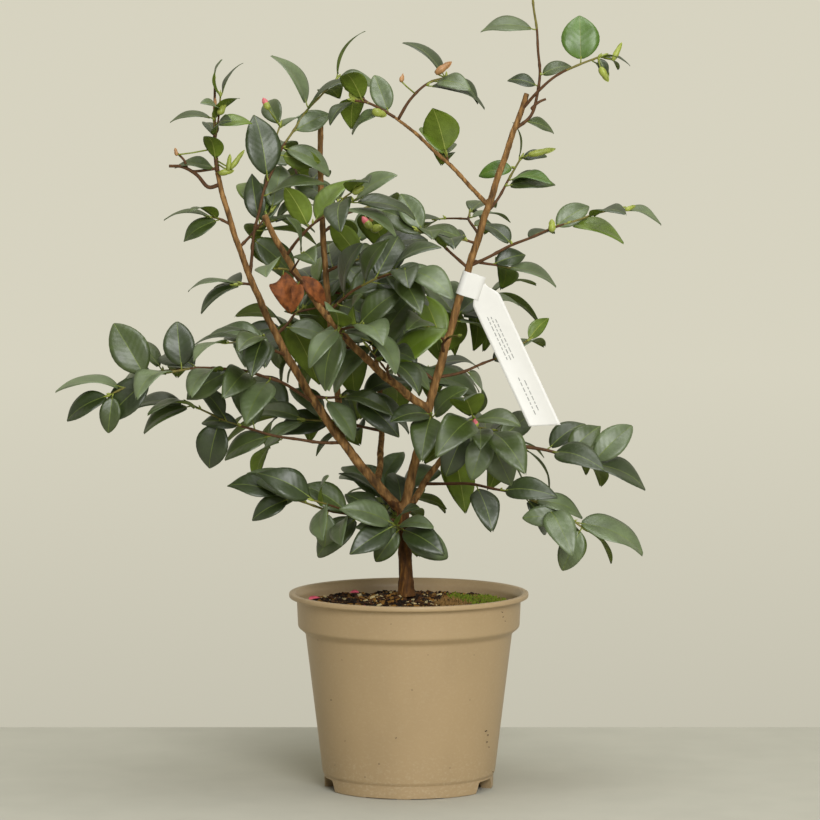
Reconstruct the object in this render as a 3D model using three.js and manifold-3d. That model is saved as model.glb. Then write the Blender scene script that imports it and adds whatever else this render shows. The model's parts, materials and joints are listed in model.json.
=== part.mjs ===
// A camellia in a five-litre grower's pot.
// Millimetres, Z up, X to the right and Y to the back. The origin is on the pot's axis, on its underside.
// A bearing is in degrees seen from above: 0 right, 90 back, 180 left, 270 front.
// A rise is in degrees above level.
import * as THREE from "three";
import { mergeVertices } from "three/addons/utils/BufferGeometryUtils.js";
import Module from "manifold-3d";

const wasm = await Module();
wasm.setup();

// Pieces that touch in the real plant keep this gap.
const GAP = 0.3;

// The pot. Radii are outer ones, and heights are measured from the underside.
const POT = {
  height: 180,
  wall: 1.8,
  floor: 2.2,
  padRadius: 34,
  padSlope: 2,
  recessHeight: 11,
  footInnerRadius: 66,
  footRadius: 77.6,
  footHeight: 13,
  bodyFootRadius: 79.4,
  shoulderHeight: 143,
  bodyTopRadius: 95,
  bandHeight: 148.5,
  bandFootRadius: 101.8,
  bandTopRadius: 103,
  lipHeight: 175,
  rimRadius: 110,
  sides: 40,
};
const NOTCH = { bearings: [197, 335, 86], width: 36, slope: 5 };
const DRAIN = { count: 6, radius: 4.5, circle: 51 };
const RELIEF = { bearings: [251, 283], width: 30, height: 0.8 };
const CUTTER_DEPTH = 24;

// The potting mix: its level at the wall, and the low mound that the trunk rises from.
const SOIL = {
  wallLevel: 167,
  slopeRadius: 60,
  slopeLevel: 170,
  moundRadius: 24,
  moundLevel: 173.7,
  trunkRadius: 10,
  trunkLevel: 175.7,
};

// Limbs start on their parent's axis, at a share of the parent's length. Each pair runs from foot to tip.
const TRUNK_FOOT = [-2, 0, 176];
const ROOT_FLARE = { share: 0.45, height: 8 };
const LIMB_STEP = 20;
const LIMB_KINK = 3;
const LIMB_SIDES = 6;
const LIMBS = {
  trunk: {
    parent: null, at: 0, bearing: [180, 180], rise: [88, 87], length: 78, radius: [6.4, 5.8],
  },
  bough_left: {
    parent: "trunk", at: 1, bearing: [188, 176], rise: [46, 77], length: 360, radius: [4.7, 2.3],
  },
  bough_right: {
    parent: "trunk", at: 1, bearing: [-10, 6], rise: [77, 70], length: 400, radius: [4.5, 2.6],
  },
  bough_front: {
    parent: "bough_right", at: 0.245, bearing: [215, 188], rise: [31, 65], length: 246, radius: [3.8, 2.7],
  },
  bough_back: {
    parent: "bough_left", at: 0.24, bearing: [110, 150], rise: [73, 92], length: 302, radius: [3.1, 2.6],
  },
  bough_rear: {
    parent: "trunk", at: 0.94, bearing: [45, 15], rise: [50, 52], length: 90, radius: [3.7, 2.4],
  },
  bough_rear_left: {
    parent: "bough_left", at: 0.1, bearing: [80, 110], rise: [42, 62], length: 180, radius: [3.2, 2],
  },
  bough_arch: {
    parent: "bough_right", at: 0.73, bearing: [178, 192], rise: [49, 38], length: 118, radius: [2.2, 1.5],
  },
};

// The blank loop label round the right bough: a band that closes on the blade, which hangs leaning right.
const LABEL = {
  limb: "bough_right",
  at: 0.545,
  bandHeight: 22,
  bandReach: 16,
  thickness: 0.6,
  lean: 25,
  headHalf: 5.5,
  shoulder: 13,
  bladeHalf: 13.5,
  bladeLength: 144,
  endSlant: 11,
};

// Leaves are spaced along their twigs, each turned on from the last, and keep clear of each other in cells.
const CELL = 5;
const LEAF_TURN = 2.4;
const LEAF_TRIES = 9;
const LEAF_SPACING = 22;
const LEAF_THICKNESS = 1.4;
const LEAF_THICKEST = 0.3;
const LEAF_SINK = 0.2;
const LEAF_FOLD = 0.28;
const LEAF_STALK = 0.1;
const LEAF_CORNERS = [0.27, 0.66];
const LEAF_FACE = { toward: [0, -0.3, 0.85], outward: 0.25 };
const LEAF_ROOM = { abovePot: 7, besidePot: 15, foot: 7, near: 12, shownFoot: 10 };
const LEAF_VARIETY = {
  length: [0.78, 1.18],
  ratio: [0.46, 0.58],
  curl: [0.1, 0.32],
  turn: [-0.5, 0.5],
  spread: [0.65, 1.15],
  tipSpread: [0.25, 0.7],
  sag: [0, 0.3],
  tilt: [[-0.5, 0.5], [-0.6, 0.4], [-0.3, 0.3]],
  nextTry: 1.1,
};
const SHOWN_LEAF = { ratio: 0.54, curl: 0.18, facing: [0, -1, 0.25] };
const TWIG_STEP = 20;
const TWIG_KINK = 4;
const TWIG_RADIUS = { stem: 1.3, stemTip: 0.7, side: 0.9, sideTip: 0.6 };
const SIDE_TWIG = { bearing: [35, 60], rise: [-10, 25], share: [0.28, 0.42], extra: 12, bend: 15, fall: 8 };

// The stretches of bough that show in full, as shares of their length, and where they are seen from. No
// seeded leaf hangs in front of them or of the label.
const VIEWPOINT = [1, -4050, 690];
const VIEW = { step: 5, first: 2, last: 59, front: -180 };
const IN_VIEW = {
  bough_front: [[0.1, 1]],
  bough_left: [[0.02, 0.4], [0.52, 0.92]],
  bough_right: [[0.3, 1]],
  bough_arch: [[0, 0.6]],
  bough_back: [[0.5, 0.64], [0.9, 1]],
};

// The foliage masses. Each has one stem from its limb, side twigs and leaves by the seeded rule below, and
// the leaves that stand out in the crown's outline: [share of the stem, bearing, rise, length, roll], and
// the width over the length where a leaf is rounder than the others.
const FOLIAGE = {
  foliage_low_left: {
    limb: "trunk", at: 0.9, bearing: [188, 195], rise: [3, 23], length: 116,
    twigs: 1, leaf: 50, leafy: [0.3, 1], seed: 70,
    shown: [
      [0.8, 180, 36, 60, 35],
      [1, 185, 20, 50, 35],
      [0.43, 178, 38, 52, 30],
      [0.16, 165, 38, 44, 20],
      [0.93, 190, -22, 40, 20],
      [0.61, 200, -84, 37, 0],
      [0.35, 185, -37, 54, 20],
    ],
  },
  foliage_low_front: {
    limb: "trunk", at: 0.8, bearing: [268, 250], rise: [0, 25], length: 40,
    leaf: 46, seed: 88,
    shown: [
      [0.6, 190, -52, 38, 0],
      [0.5, 350, -29, 50, 0],
      [0.9, 330, 12, 36, 50],
    ],
  },
  foliage_low_back: {
    limb: "trunk", at: 0.84, bearing: [100, 112], rise: [8, 30], length: 95,
    twigs: 1, leaf: 50, seed: 414,
  },
  foliage_left_under: {
    limb: "bough_left", at: 0.235, bearing: [178, 172], rise: [0, 28], length: 150,
    leaf: 50, leafy: [0.28, 1], seed: 45,
    shown: [
      [0.44, 182, -17, 49, 35],
      [0.78, 190, -74, 48, 10, 0.66],
      [0.64, 175, 13, 37, 30],
      [1, 178, 5, 54, 55],
      [0.97, 188, -17, 50, 50],
    ],
  },
  foliage_left_reach: {
    limb: "bough_left", at: 0.355, bearing: [212, 180], rise: [38, -30], length: 206,
    twigs: 1, leaf: 52, leafy: [0.2, 1], seed: 432,
    shown: [
      [0.83, 178, 60, 58, 0, 0.6],
      [0.67, 172, 84, 44, 0, 0.66],
      [0.93, 180, 10, 62, 65],
      [1, 186, -22, 46, 30],
      [0.99, 230, -78, 36, 0],
      [0.8, 186, -40, 58, 10],
      [0.44, 184, -27, 50, 15],
    ],
  },
  foliage_left_front: {
    limb: "bough_left", at: 0.5, bearing: [235, 215], rise: [25, 0], length: 75,
    twigs: 1, leaf: 54, seed: 10,
  },
  foliage_left_side: {
    limb: "bough_left", at: 0.7, bearing: [182, 188], rise: [10, -5], length: 14,
    leaf: 50, leafy: [0.3, 1], gap: 12, seed: 370,
    shown: [
      [0.9, 182, 6, 46, 70],
      [0.7, 200, -20, 46, 60],
    ],
  },
  foliage_left_high: {
    limb: "bough_left", at: 0.86, bearing: [185, 190], rise: [35, 10], length: 20,
    leaf: 48, leafy: [0.3, 1], gap: 12, seed: 63,
    shown: [
      [0.8, 180, 12, 46, 70],
      [0.6, 190, -22, 38, 30],
    ],
  },
  foliage_left_top: {
    limb: "bough_left", at: 1, bearing: [150, 60], rise: [84, 88], length: 84,
    thick: 1, twigs: 2, leaf: 36, leafy: [0, 0.5], gap: 18, seed: 467,
    shown: [
      [0.03, 178, 15, 38, 50],
      [0.5, 5, 14, 34, 40],
      [0.58, 180, 8, 40, 60],
    ],
  },
  foliage_inner_top: {
    limb: "bough_left", at: 0.72, bearing: [50, 5], rise: [87, 42], length: 204,
    twigs: 1, leaf: 50, leafy: [0.3, 1], gap: 24, seed: 151,
    shown: [
      [0.82, 178, 68, 58, 62],
      [0.69, 10, 30, 40, 10],
      [0.44, 176, 82, 62, 15],
      [0.57, 5, -10, 38, 170],
      [0.61, 350, -20, 49, 40],
    ],
  },
  foliage_inner_left: {
    limb: "bough_left", at: 0.8, bearing: [70, 40], rise: [30, 20], length: 55,
    twigs: 1, leaf: 50, seed: 431,
  },
  foliage_inner_mid: {
    limb: "bough_left", at: 0.56, bearing: [60, 70], rise: [30, 15], length: 60,
    twigs: 1, leaf: 52, seed: 41,
  },
  foliage_inner_low: {
    limb: "bough_left", at: 0.38, bearing: [5, 30], rise: [-5, 5], length: 46,
    leaf: 50, seed: 7,
  },
  foliage_center_high: {
    limb: "bough_front", at: 0.83, bearing: [-40, 0], rise: [53, 21], length: 86,
    twigs: 1, leaf: 52, leafy: [0.3, 1], seed: 434,
    shown: [
      [0.95, 355, -2, 58, 55],
      [0.42, 172, 63, 42, 160],
    ],
  },
  foliage_front_high: {
    limb: "bough_front", at: 0.7, bearing: [250, 235], rise: [35, 5], length: 55,
    twigs: 1, leaf: 52, seed: 110,
  },
  foliage_front_mid: {
    limb: "bough_front", at: 0.44, bearing: [255, 275], rise: [28, 0], length: 62,
    twigs: 1, leaf: 52, seed: 406,
  },
  foliage_front_low: {
    limb: "bough_front", at: 0.2, bearing: [262, 280], rise: [35, 5], length: 70,
    twigs: 1, leaf: 54, seed: 411,
  },
  foliage_center_mid: {
    limb: "bough_front", at: 0.56, bearing: [-50, -10], rise: [42, 20], length: 80,
    twigs: 1, leaf: 54, seed: 177,
  },
  foliage_center_green: {
    limb: "bough_back", at: 0.52, bearing: [-30, 10], rise: [30, 10], length: 40,
    leaf: 50, seed: 388,
    shown: [
      [0.9, 172, 52, 42, 165],
    ],
  },
  foliage_back_mid: {
    limb: "bough_back", at: 0.4, bearing: [95, 110], rise: [25, 5], length: 100,
    twigs: 1, leaf: 54, seed: 284,
  },
  foliage_back_high: {
    limb: "bough_back", at: 0.64, bearing: [60, 40], rise: [30, 5], length: 80,
    twigs: 1, leaf: 50, seed: 440,
  },
  foliage_back_top: {
    limb: "bough_back", at: 0.78, bearing: [110, 150], rise: [20, 0], length: 55,
    twigs: 1, leaf: 48, seed: 104,
  },
  foliage_arch_low: {
    limb: "bough_arch", at: 0.46, bearing: [90, 110], rise: [55, 55], length: 9,
    leaf: 44, leafy: [0.9, 1], gap: 30, seed: 441,
    shown: [
      [1, 168, 76, 44, 165, 0.78],
      [0.8, 140, 50, 42, 30],
    ],
  },
  foliage_arch_left: {
    limb: "bough_arch", at: 1, bearing: [185, 200], rise: [38, 8], length: 42,
    twigs: 1, leaf: 46, leafy: [0.1, 1], gap: 14, seed: 408,
    shown: [
      [0.15, 172, 70, 38, 0],
    ],
  },
  foliage_arch_right: {
    limb: "bough_arch", at: 0.97, bearing: [-10, 10], rise: [71, 8], length: 66,
    leaf: 44, leafy: [0.5, 1], gap: 40, seed: 114,
    shown: [
      [0.92, 172, 52, 50, 60],
      [1, 0, -34, 34, 50],
      [0.62, 0, -8, 56, 62],
    ],
  },
  foliage_center_leaf: {
    limb: "bough_right", at: 0.58, bearing: [200, 215], rise: [46, 26], length: 64,
    twigs: 1, leaf: 52, leafy: [0.3, 1], seed: 327,
    shown: [
      [0.9, 165, 60, 42, 0],
    ],
  },
  foliage_center_right: {
    limb: "bough_right", at: 0.64, bearing: [190, 200], rise: [20, 10], length: 14,
    leaf: 44, leafy: [0.5, 1], gap: 20, seed: 250,
    shown: [
      [0.7, 176, 22, 44, 50],
    ],
  },
  foliage_center_low: {
    limb: "bough_right", at: 0.31, bearing: [190, 200], rise: [45, 20], length: 75,
    twigs: 1, leaf: 54, seed: 66,
  },
  foliage_right_reach: {
    limb: "bough_right", at: 0.585, bearing: [-8, 4], rise: [29, 14], length: 148,
    leaf: 40, leafy: [0.2, 1], gap: 40, seed: 171,
    shown: [
      [1, 0, -8, 40, 58],
      [0.66, 0, -6, 54, 50],
      [0.57, 8, 35, 40, 10],
      [0.3, 150, 40, 36, 30],
    ],
  },
  foliage_right_twig: {
    limb: "bough_right", at: 0.71, bearing: [60, 15], rise: [35, 66], length: 66,
    leaf: 40, leafy: [0.3, 1], gap: 40, seed: 285,
    shown: [
      [0.55, 355, 12, 45, 35],
      [0.85, 180, -5, 34, 20],
      [1, 0, 15, 24, 30],
    ],
  },
  foliage_right_mid: {
    limb: "bough_right", at: 0.6, bearing: [20, 0], rise: [-12, -10], length: 40,
    leaf: 48, leafy: [0.3, 1], gap: 16, seed: 157,
    shown: [
      [0.8, 0, -8, 50, 55],
      [0.5, 10, 20, 34, 10],
    ],
  },
  foliage_behind_tag: {
    limb: "bough_right", at: 0.32, bearing: [25, 10], rise: [9, 31], length: 94,
    leaf: 46, seed: 130,
    shown: [
      [1, 20, 50, 28, 150],
    ],
  },
  foliage_top_shoot: {
    limb: "bough_right", at: 0.912, bearing: [4, 10], rise: [22, 97], length: 160,
    settle: 5, leaf: 40, leafy: [0.8, 1], gap: 40, seed: 480,
    shown: [
      [0.62, 180, 10, 50, 45],
      [0.36, 0, 25, 30, 30],
      [0.3, 180, 20, 28, 30],
      [0.08, 10, -12, 30, 40],
      [0.84, 0, 38, 42, 20],
      [1, 175, 62, 38, 15],
    ],
  },
  foliage_top_side: {
    limb: "bough_right", at: 0.96, bearing: [-26, 10], rise: [54, 13], length: 90,
    leaf: 30, leafy: [0.8, 1], gap: 40, seed: 210,
    shown: [
      [0.78, 180, 89, 44, 0, 0.8],
      [0.97, 0, -60, 18, 0],
    ],
  },
  foliage_back_right_high: {
    limb: "bough_right", at: 0.66, bearing: [110, 80], rise: [20, 5], length: 90,
    twigs: 1, leaf: 50, seed: 334,
  },
  foliage_back_right_mid: {
    limb: "bough_right", at: 0.43, bearing: [85, 60], rise: [25, 5], length: 115,
    twigs: 1, leaf: 54, seed: 27,
  },
  foliage_right_front: {
    limb: "bough_right", at: 0.19, bearing: [300, 325], rise: [20, -10], length: 95,
    twigs: 2, leaf: 56, seed: 305,
    shown: [
      [0.9, 340, -61, 57, 0],
      [0.7, 210, -63, 48, 0],
      [0.95, 230, -62, 47, 0],
    ],
  },
  foliage_right_front_high: {
    limb: "bough_right", at: 0.38, bearing: [265, 300], rise: [30, 5], length: 68,
    twigs: 1, leaf: 54, seed: 396,
    shown: [
      [0.3, 172, 70, 50, 165],
    ],
  },
  foliage_right_low: {
    limb: "bough_rear", at: 1, bearing: [-15, -5], rise: [0, -19], length: 130,
    twigs: 1, leaf: 50, leafy: [0.2, 1], seed: 179,
    shown: [
      [1, 5, 47, 51, 10],
      [0.97, 0, -14, 58, 45],
      [0.8, 10, 43, 44, 10],
    ],
  },
  foliage_right_under: {
    limb: "bough_rear", at: 0.42, bearing: [-22, -8], rise: [8, -34], length: 158,
    leaf: 50, leafy: [0.25, 1], seed: 113,
    shown: [
      [0.94, 0, -14, 70, 45],
      [1, 190, -65, 44, 0],
      [0.88, 195, 0, 38, 0],
      [0.66, 0, -8, 50, 45],
    ],
  },
  foliage_back_right_low: {
    limb: "bough_rear", at: 0.75, bearing: [75, 50], rise: [10, 0], length: 105,
    twigs: 1, leaf: 54, seed: 194,
  },
  foliage_rear_left_low: {
    limb: "bough_rear_left", at: 0.35, bearing: [140, 165], rise: [8, 5], length: 110,
    twigs: 1, leaf: 54, seed: 231,
  },
  foliage_rear_left_mid: {
    limb: "bough_rear_left", at: 0.75, bearing: [135, 160], rise: [25, 10], length: 110,
    twigs: 1, leaf: 54, seed: 432,
  },
  foliage_rear_mid: {
    limb: "bough_rear_left", at: 0.6, bearing: [60, 40], rise: [20, 5], length: 85,
    twigs: 1, leaf: 54, seed: 440,
  },
  foliage_rear_top: {
    limb: "bough_rear_left", at: 1, bearing: [95, 80], rise: [50, 25], length: 100,
    twigs: 2, leaf: 52, leafy: [0.2, 1], seed: 339,
  },
};

const COLOURS = {
  pot: 0xb29a75,
  soil: 0x3b2d20,
  bark: 0x8a5a32,
  leaf: 0x3f5a34,
  label: 0xf1efe6,
};
const FINISH = {
  pot: { roughness: 0.5 },
  soil: { roughness: 0.95 },
  bark: { roughness: 0.75 },
  leaf: { roughness: 0.4 },
  label: { roughness: 0.6 },
};

// Small vector sums on [x, y, z] lists.
const UP = [0, 0, 1];
const add = (a, b) => [a[0] + b[0], a[1] + b[1], a[2] + b[2]];
const subtract = (a, b) => [a[0] - b[0], a[1] - b[1], a[2] - b[2]];
const scale = (a, k) => [a[0] * k, a[1] * k, a[2] * k];
const dot = (a, b) => a[0] * b[0] + a[1] * b[1] + a[2] * b[2];
const cross = (a, b) => [
  a[1] * b[2] - a[2] * b[1],
  a[2] * b[0] - a[0] * b[2],
  a[0] * b[1] - a[1] * b[0],
];
const unit = (a) => scale(a, 1 / Math.sqrt(dot(a, a)));
const mix = (a, b, t) => a + (b - a) * t;
const radians = (d) => (d * Math.PI) / 180;
const degrees = (r) => (r * 180) / Math.PI;

function heading(bearing, rise) {
  const b = radians(bearing);
  const r = radians(rise);
  return [Math.cos(r) * Math.cos(b), Math.cos(r) * Math.sin(b), Math.sin(r)];
}
const bearingOf = (d) => degrees(Math.atan2(d[1], d[0]));
const riseOf = (d) => degrees(Math.asin(Math.max(-1, Math.min(1, d[2]))));

// The same numbers in the same order for each seed.
function seeded(seed) {
  let state = ((seed * 7919 + 12345) % 2147483646) + 1;
  const draw = (low = 0, high = 1) => {
    state = (state * 48271) % 2147483647;
    return low + ((high - low) * state) / 2147483647;
  };
  draw();
  draw();
  return draw;
}

// A growing line: its heading turns from the first bearing and rise to the last, with a kink at each step.
function growPath(start, grown, steps, kink) {
  const points = [start];
  for (let i = 0; i < steps; i += 1) {
    const t = 1 - (1 - (i + 0.5) / steps) ** (grown.settle ?? 1);
    const side = i % 2 ? kink : -kink;
    const bearing = mix(grown.bearing[0], grown.bearing[1], t) + side;
    const rise = mix(grown.rise[0], grown.rise[1], t) + side * 0.6;
    points.push(add(points[i], scale(heading(bearing, rise), grown.length / steps)));
  }
  return points;
}

// The point and the heading at a share of a line's length.
function along(points, share) {
  const last = points.length - 1;
  const s = Math.min(Math.max(share, 0), 1) * last;
  const i = Math.min(Math.floor(s), last - 1);
  const step = subtract(points[i + 1], points[i]);
  return { point: add(points[i], scale(step, s - i)), direction: unit(step) };
}

function pathLength(points) {
  let total = 0;
  for (let i = 1; i < points.length; i += 1) {
    const step = subtract(points[i], points[i - 1]);
    total += Math.sqrt(dot(step, step));
  }
  return total;
}

// Solids: a closed geometry made into one, its largest body, and the way back to a geometry.
function solidOf(geometry) {
  const bare = new THREE.BufferGeometry();
  bare.setAttribute("position", geometry.getAttribute("position"));
  if (geometry.index) bare.setIndex(geometry.index);
  const merged = mergeVertices(bare, 1e-4);
  const index = merged.index.array;
  const faces = [];
  for (let i = 0; i < index.length; i += 3) {
    const [a, b, c] = [index[i], index[i + 1], index[i + 2]];
    if (a !== b && b !== c && c !== a) faces.push(a, b, c);
  }
  const vertProperties = new Float32Array(merged.getAttribute("position").array);
  return new wasm.Manifold(new wasm.Mesh({ numProp: 3, vertProperties, triVerts: new Uint32Array(faces) }));
}

function largestBody(solid) {
  return solid.decompose().reduce((best, body) => (body.volume() > best.volume() ? body : best));
}

function geometryOf(solid) {
  const mesh = solid.getMesh();
  const geometry = new THREE.BufferGeometry();
  geometry.setAttribute("position", new THREE.BufferAttribute(new Float32Array(mesh.vertProperties), 3));
  geometry.setIndex(new THREE.BufferAttribute(new Uint32Array(mesh.triVerts), 1));
  geometry.computeVertexNormals();
  return geometry;
}

function turned(profile, sides) {
  const points = profile.map(([radius, height]) => new THREE.Vector2(radius, height));
  return solidOf(new THREE.LatheGeometry(points, sides).rotateX(Math.PI / 2));
}

// A round limb or twig along a line, with its radius given for each share of the length.
function rod(points, radiusAt, sides) {
  const last = points.length - 1;
  const position = [];
  const faces = [];
  let across = null;
  points.forEach((point, i) => {
    const before = points[Math.max(i - 1, 0)];
    const after = points[Math.min(i + 1, last)];
    const forward = unit(subtract(after, before));
    const guide = across ?? (Math.abs(forward[1]) < 0.8 ? [0, 1, 0] : UP);
    across = unit(subtract(guide, scale(forward, dot(guide, forward))));
    const other = cross(forward, across);
    const radius = radiusAt(i / last);
    for (let k = 0; k < sides; k += 1) {
      const angle = (2 * Math.PI * k) / sides;
      const out = add(scale(across, Math.cos(angle) * radius), scale(other, Math.sin(angle) * radius));
      position.push(...add(point, out));
    }
  });
  for (let i = 0; i < last; i += 1) {
    for (let k = 0; k < sides; k += 1) {
      const a = i * sides + k;
      const b = i * sides + ((k + 1) % sides);
      faces.push(a, b, b + sides, a, b + sides, a + sides);
    }
  }
  for (let k = 1; k < sides - 1; k += 1) {
    faces.push(0, k + 1, k);
    faces.push(last * sides, last * sides + k, last * sides + k + 1);
  }
  const geometry = new THREE.BufferGeometry();
  geometry.setAttribute("position", new THREE.Float32BufferAttribute(position, 3));
  geometry.setIndex(faces);
  return solidOf(geometry);
}

// A limb grown by the gap all round and at both ends, to cut its neighbours with.
function limbWithGap(limb) {
  const { points } = limb;
  const last = points.length - 1;
  const foot = subtract(points[0], scale(unit(subtract(points[1], points[0])), GAP));
  const tip = add(points[last], scale(unit(subtract(points[last], points[last - 1])), GAP));
  const longer = [foot, ...points.slice(1, last), tip];
  const wider = GAP / Math.cos(Math.PI / LIMB_SIDES);
  return rod(longer, (t) => limb.radiusAt(t) + wider, LIMB_SIDES);
}

// The crown's space, divided into cells. Each cell belongs to the first piece that fills it.
const space = new Map();
const ROW = 512;
const cellOf = (p) =>
  ((Math.floor(p[0] / CELL) + 256) * ROW + Math.floor(p[1] / CELL) + 256) * ROW +
  Math.floor(p[2] / CELL) + 64;
const NEIGHBOURS = [];
for (const x of [-1, 0, 1]) {
  for (const y of [-1, 0, 1]) {
    for (const z of [-1, 0, 1]) NEIGHBOURS.push((x * ROW + y) * ROW + z);
  }
}

function claim(points, owner) {
  for (const p of points) {
    const cell = cellOf(p);
    if (!space.has(cell)) space.set(cell, owner);
  }
}

// Points about 3 mm apart along a rod, and round it where it is thick.
function rodPoints(points, radius) {
  const found = [];
  const last = points.length - 1;
  for (let i = 0; i < last; i += 1) {
    const step = subtract(points[i + 1], points[i]);
    const length = Math.sqrt(dot(step, step));
    const forward = scale(step, 1 / length);
    const count = Math.max(1, Math.floor(length / 3));
    const across = unit(cross(forward, Math.abs(forward[1]) < 0.8 ? [0, 1, 0] : UP));
    const other = cross(forward, across);
    for (let j = 0; j <= count; j += 1) {
      const p = add(points[i], scale(step, j / count));
      const r = mix(radius[0], radius[1], (i + j / count) / last);
      found.push(p);
      for (let q = 0; r > 1.5 && q < 6; q += 1) {
        const angle = (q * Math.PI) / 3;
        found.push(add(p, add(scale(across, Math.cos(angle) * r), scale(other, Math.sin(angle) * r))));
      }
    }
  }
  return found;
}

// The cells between a shown point and the viewer.
const keptClear = new Set();

function keepInView(p) {
  const toward = unit(subtract(VIEWPOINT, p));
  for (let k = VIEW.first; k <= VIEW.last; k += 1) {
    const q = add(p, scale(toward, VIEW.step * k));
    if (q[1] < VIEW.front) return;
    keptClear.add(cellOf(q));
  }
}

function keepBoughsInView(limbs) {
  for (const [name, spans] of Object.entries(IN_VIEW)) {
    for (const [from, to] of spans) {
      const count = Math.floor((LIMBS[name].length * (to - from)) / 3);
      for (let k = 0; k <= count; k += 1) {
        keepInView(along(limbs[name].points, mix(from, to, k / count)).point);
      }
    }
  }
}

// A leaf blade: half its width at a share of its length, and the point there, from -1 to 1 across.
const halfWidth = (t) => (t > 0 && t < 1 ? Math.sin(Math.PI * t ** 0.85) ** 0.8 : 0);

function leafPoint(leaf, t, across) {
  const out = across * halfWidth(t) * leaf.width * 0.5;
  const forward = leaf.length * (LEAF_STALK + t * (1 - 0.06 * t));
  const lift = Math.abs(out) * LEAF_FOLD - leaf.curl * leaf.length * t * t;
  const flat = add(scale(leaf.along, forward), scale(leaf.side, out));
  return add(leaf.base, add(flat, scale(leaf.face, lift)));
}

function leafPoints(leaf) {
  const found = [];
  const rows = Math.floor(leaf.length / 4) + 1;
  for (let i = 0; i <= rows; i += 1) {
    const t = i / rows;
    const columns = Math.floor((halfWidth(t) * leaf.width * 0.5) / 4) + 1;
    for (let j = -columns; j <= columns; j += 1) found.push(leafPoint(leaf, t, j / columns));
  }
  return found;
}

// A leaf may not come down into the pot, and a seeded one keeps a cell away from every other mass and limb.
function leafIsClear(leaf, owner, shown) {
  return leafPoints(leaf).every((p) => {
    const beside = POT.rimRadius + LEAF_ROOM.besidePot;
    if (p[2] < POT.height + LEAF_ROOM.abovePot && p[0] ** 2 + p[1] ** 2 < beside ** 2) return false;
    const cell = cellOf(p);
    const holder = space.get(cell);
    const reach = subtract(p, leaf.base);
    const distance = dot(reach, reach);
    const ours = holder === undefined || holder === owner;
    if (shown) return ours || distance <= LEAF_ROOM.shownFoot ** 2;
    if (distance <= LEAF_ROOM.near ** 2) return ours || distance <= LEAF_ROOM.foot ** 2;
    if (holder !== undefined || keptClear.has(cell)) return false;
    return NEIGHBOURS.every((step) => [undefined, owner].includes(space.get(cell + step)));
  });
}

function leafFrom(base, forward, face, size) {
  const normal = unit(subtract(face, scale(forward, dot(face, forward))));
  return { base, along: forward, face: normal, side: cross(forward, normal), ...size };
}

// A leaf that stands out in the outline, facing the front and rolled upwards from there.
function shownLeaf(stem, [share, bearing, rise, length, roll, ratio = SHOWN_LEAF.ratio]) {
  const forward = heading(bearing, rise);
  const facing = leafFrom(along(stem, share).point, forward, SHOWN_LEAF.facing, {
    length: length / 1.04,
    width: length * ratio,
    curl: SHOWN_LEAF.curl,
  });
  const upper = facing.side[2] < 0 ? scale(facing.side, -1) : facing.side;
  const turn = radians(roll);
  const face = add(scale(facing.face, Math.cos(turn)), scale(upper, Math.sin(turn)));
  return { ...facing, face, side: cross(forward, face) };
}

// A seeded leaf: it leaves the twig at an angle, sags, and faces up, out and a little to the front.
function seededLeaf(site, turn, spread, sag, tilt, size) {
  const d = site.direction;
  const level = cross(d, UP);
  const sideways = dot(level, level) > 1e-3 ? unit(level) : [1, 0, 0];
  const above = cross(sideways, d);
  const flatness = 0.35 + 0.65 * Math.abs(d[2]);
  const outward = unit(add(scale(sideways, Math.cos(turn)), scale(above, Math.sin(turn) * flatness)));
  const lean = add(scale(d, Math.cos(spread)), scale(outward, Math.sin(spread)));
  const forward = unit([lean[0], lean[1], lean[2] - sag]);
  const fromAxis = [site.point[0], site.point[1], 0];
  const crownward = dot(fromAxis, fromAxis) > 400 ? unit(fromAxis) : [0, -1, 0];
  const face = add(add(LEAF_FACE.toward, scale(crownward, LEAF_FACE.outward)), tilt);
  return leafFrom(site.point, forward, face, size);
}

// A mass's side twigs, each off the stem to one side where its space is free.
function sideTwigs(name, mass, draw) {
  const twigs = [];
  for (let k = 0; k < (mass.twigs ?? 0); k += 1) {
    const share = mix(mass.leafy[0], mass.leafy[1] - 0.1, (k + draw(0.1, 0.9)) / mass.twigs);
    const site = along(mass.stem, share);
    const side = (k + Math.floor(draw(0, 2))) % 2 ? 1 : -1;
    const bearing = bearingOf(site.direction) + side * draw(...SIDE_TWIG.bearing);
    const rise = riseOf(site.direction) + draw(...SIDE_TWIG.rise);
    const length = mass.length * draw(...SIDE_TWIG.share) + SIDE_TWIG.extra;
    const bearings = [bearing, bearing - side * SIDE_TWIG.bend];
    const grown = { bearing: bearings, rise: [rise, rise - SIDE_TWIG.fall], length };
    const path = growPath(site.point, grown, 3, 0);
    const points = rodPoints(path, [TWIG_RADIUS.side, TWIG_RADIUS.sideTip]);
    if (points.slice(3).every((p) => [undefined, name].includes(space.get(cellOf(p))))) {
      twigs.push(path);
      claim(points, name);
    }
  }
  return twigs;
}

// The places of the leaves on a twig: evenly spaced over its leafy stretch, and two more at a leafy tip.
function leafSites(path, leafy, spacing) {
  const usable = pathLength(path) * (leafy[1] - leafy[0]);
  const count = Math.max(1, Math.floor(usable / spacing));
  const shares = [];
  for (let k = 0; k < count; k += 1) shares.push(mix(leafy[0], leafy[1], (k + 0.5) / count));
  const sites = shares.map((share) => ({ ...along(path, share), tip: false }));
  if (leafy[1] === 1) sites.push({ ...along(path, 0.97), tip: true }, { ...along(path, 1), tip: true });
  return sites;
}

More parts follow.
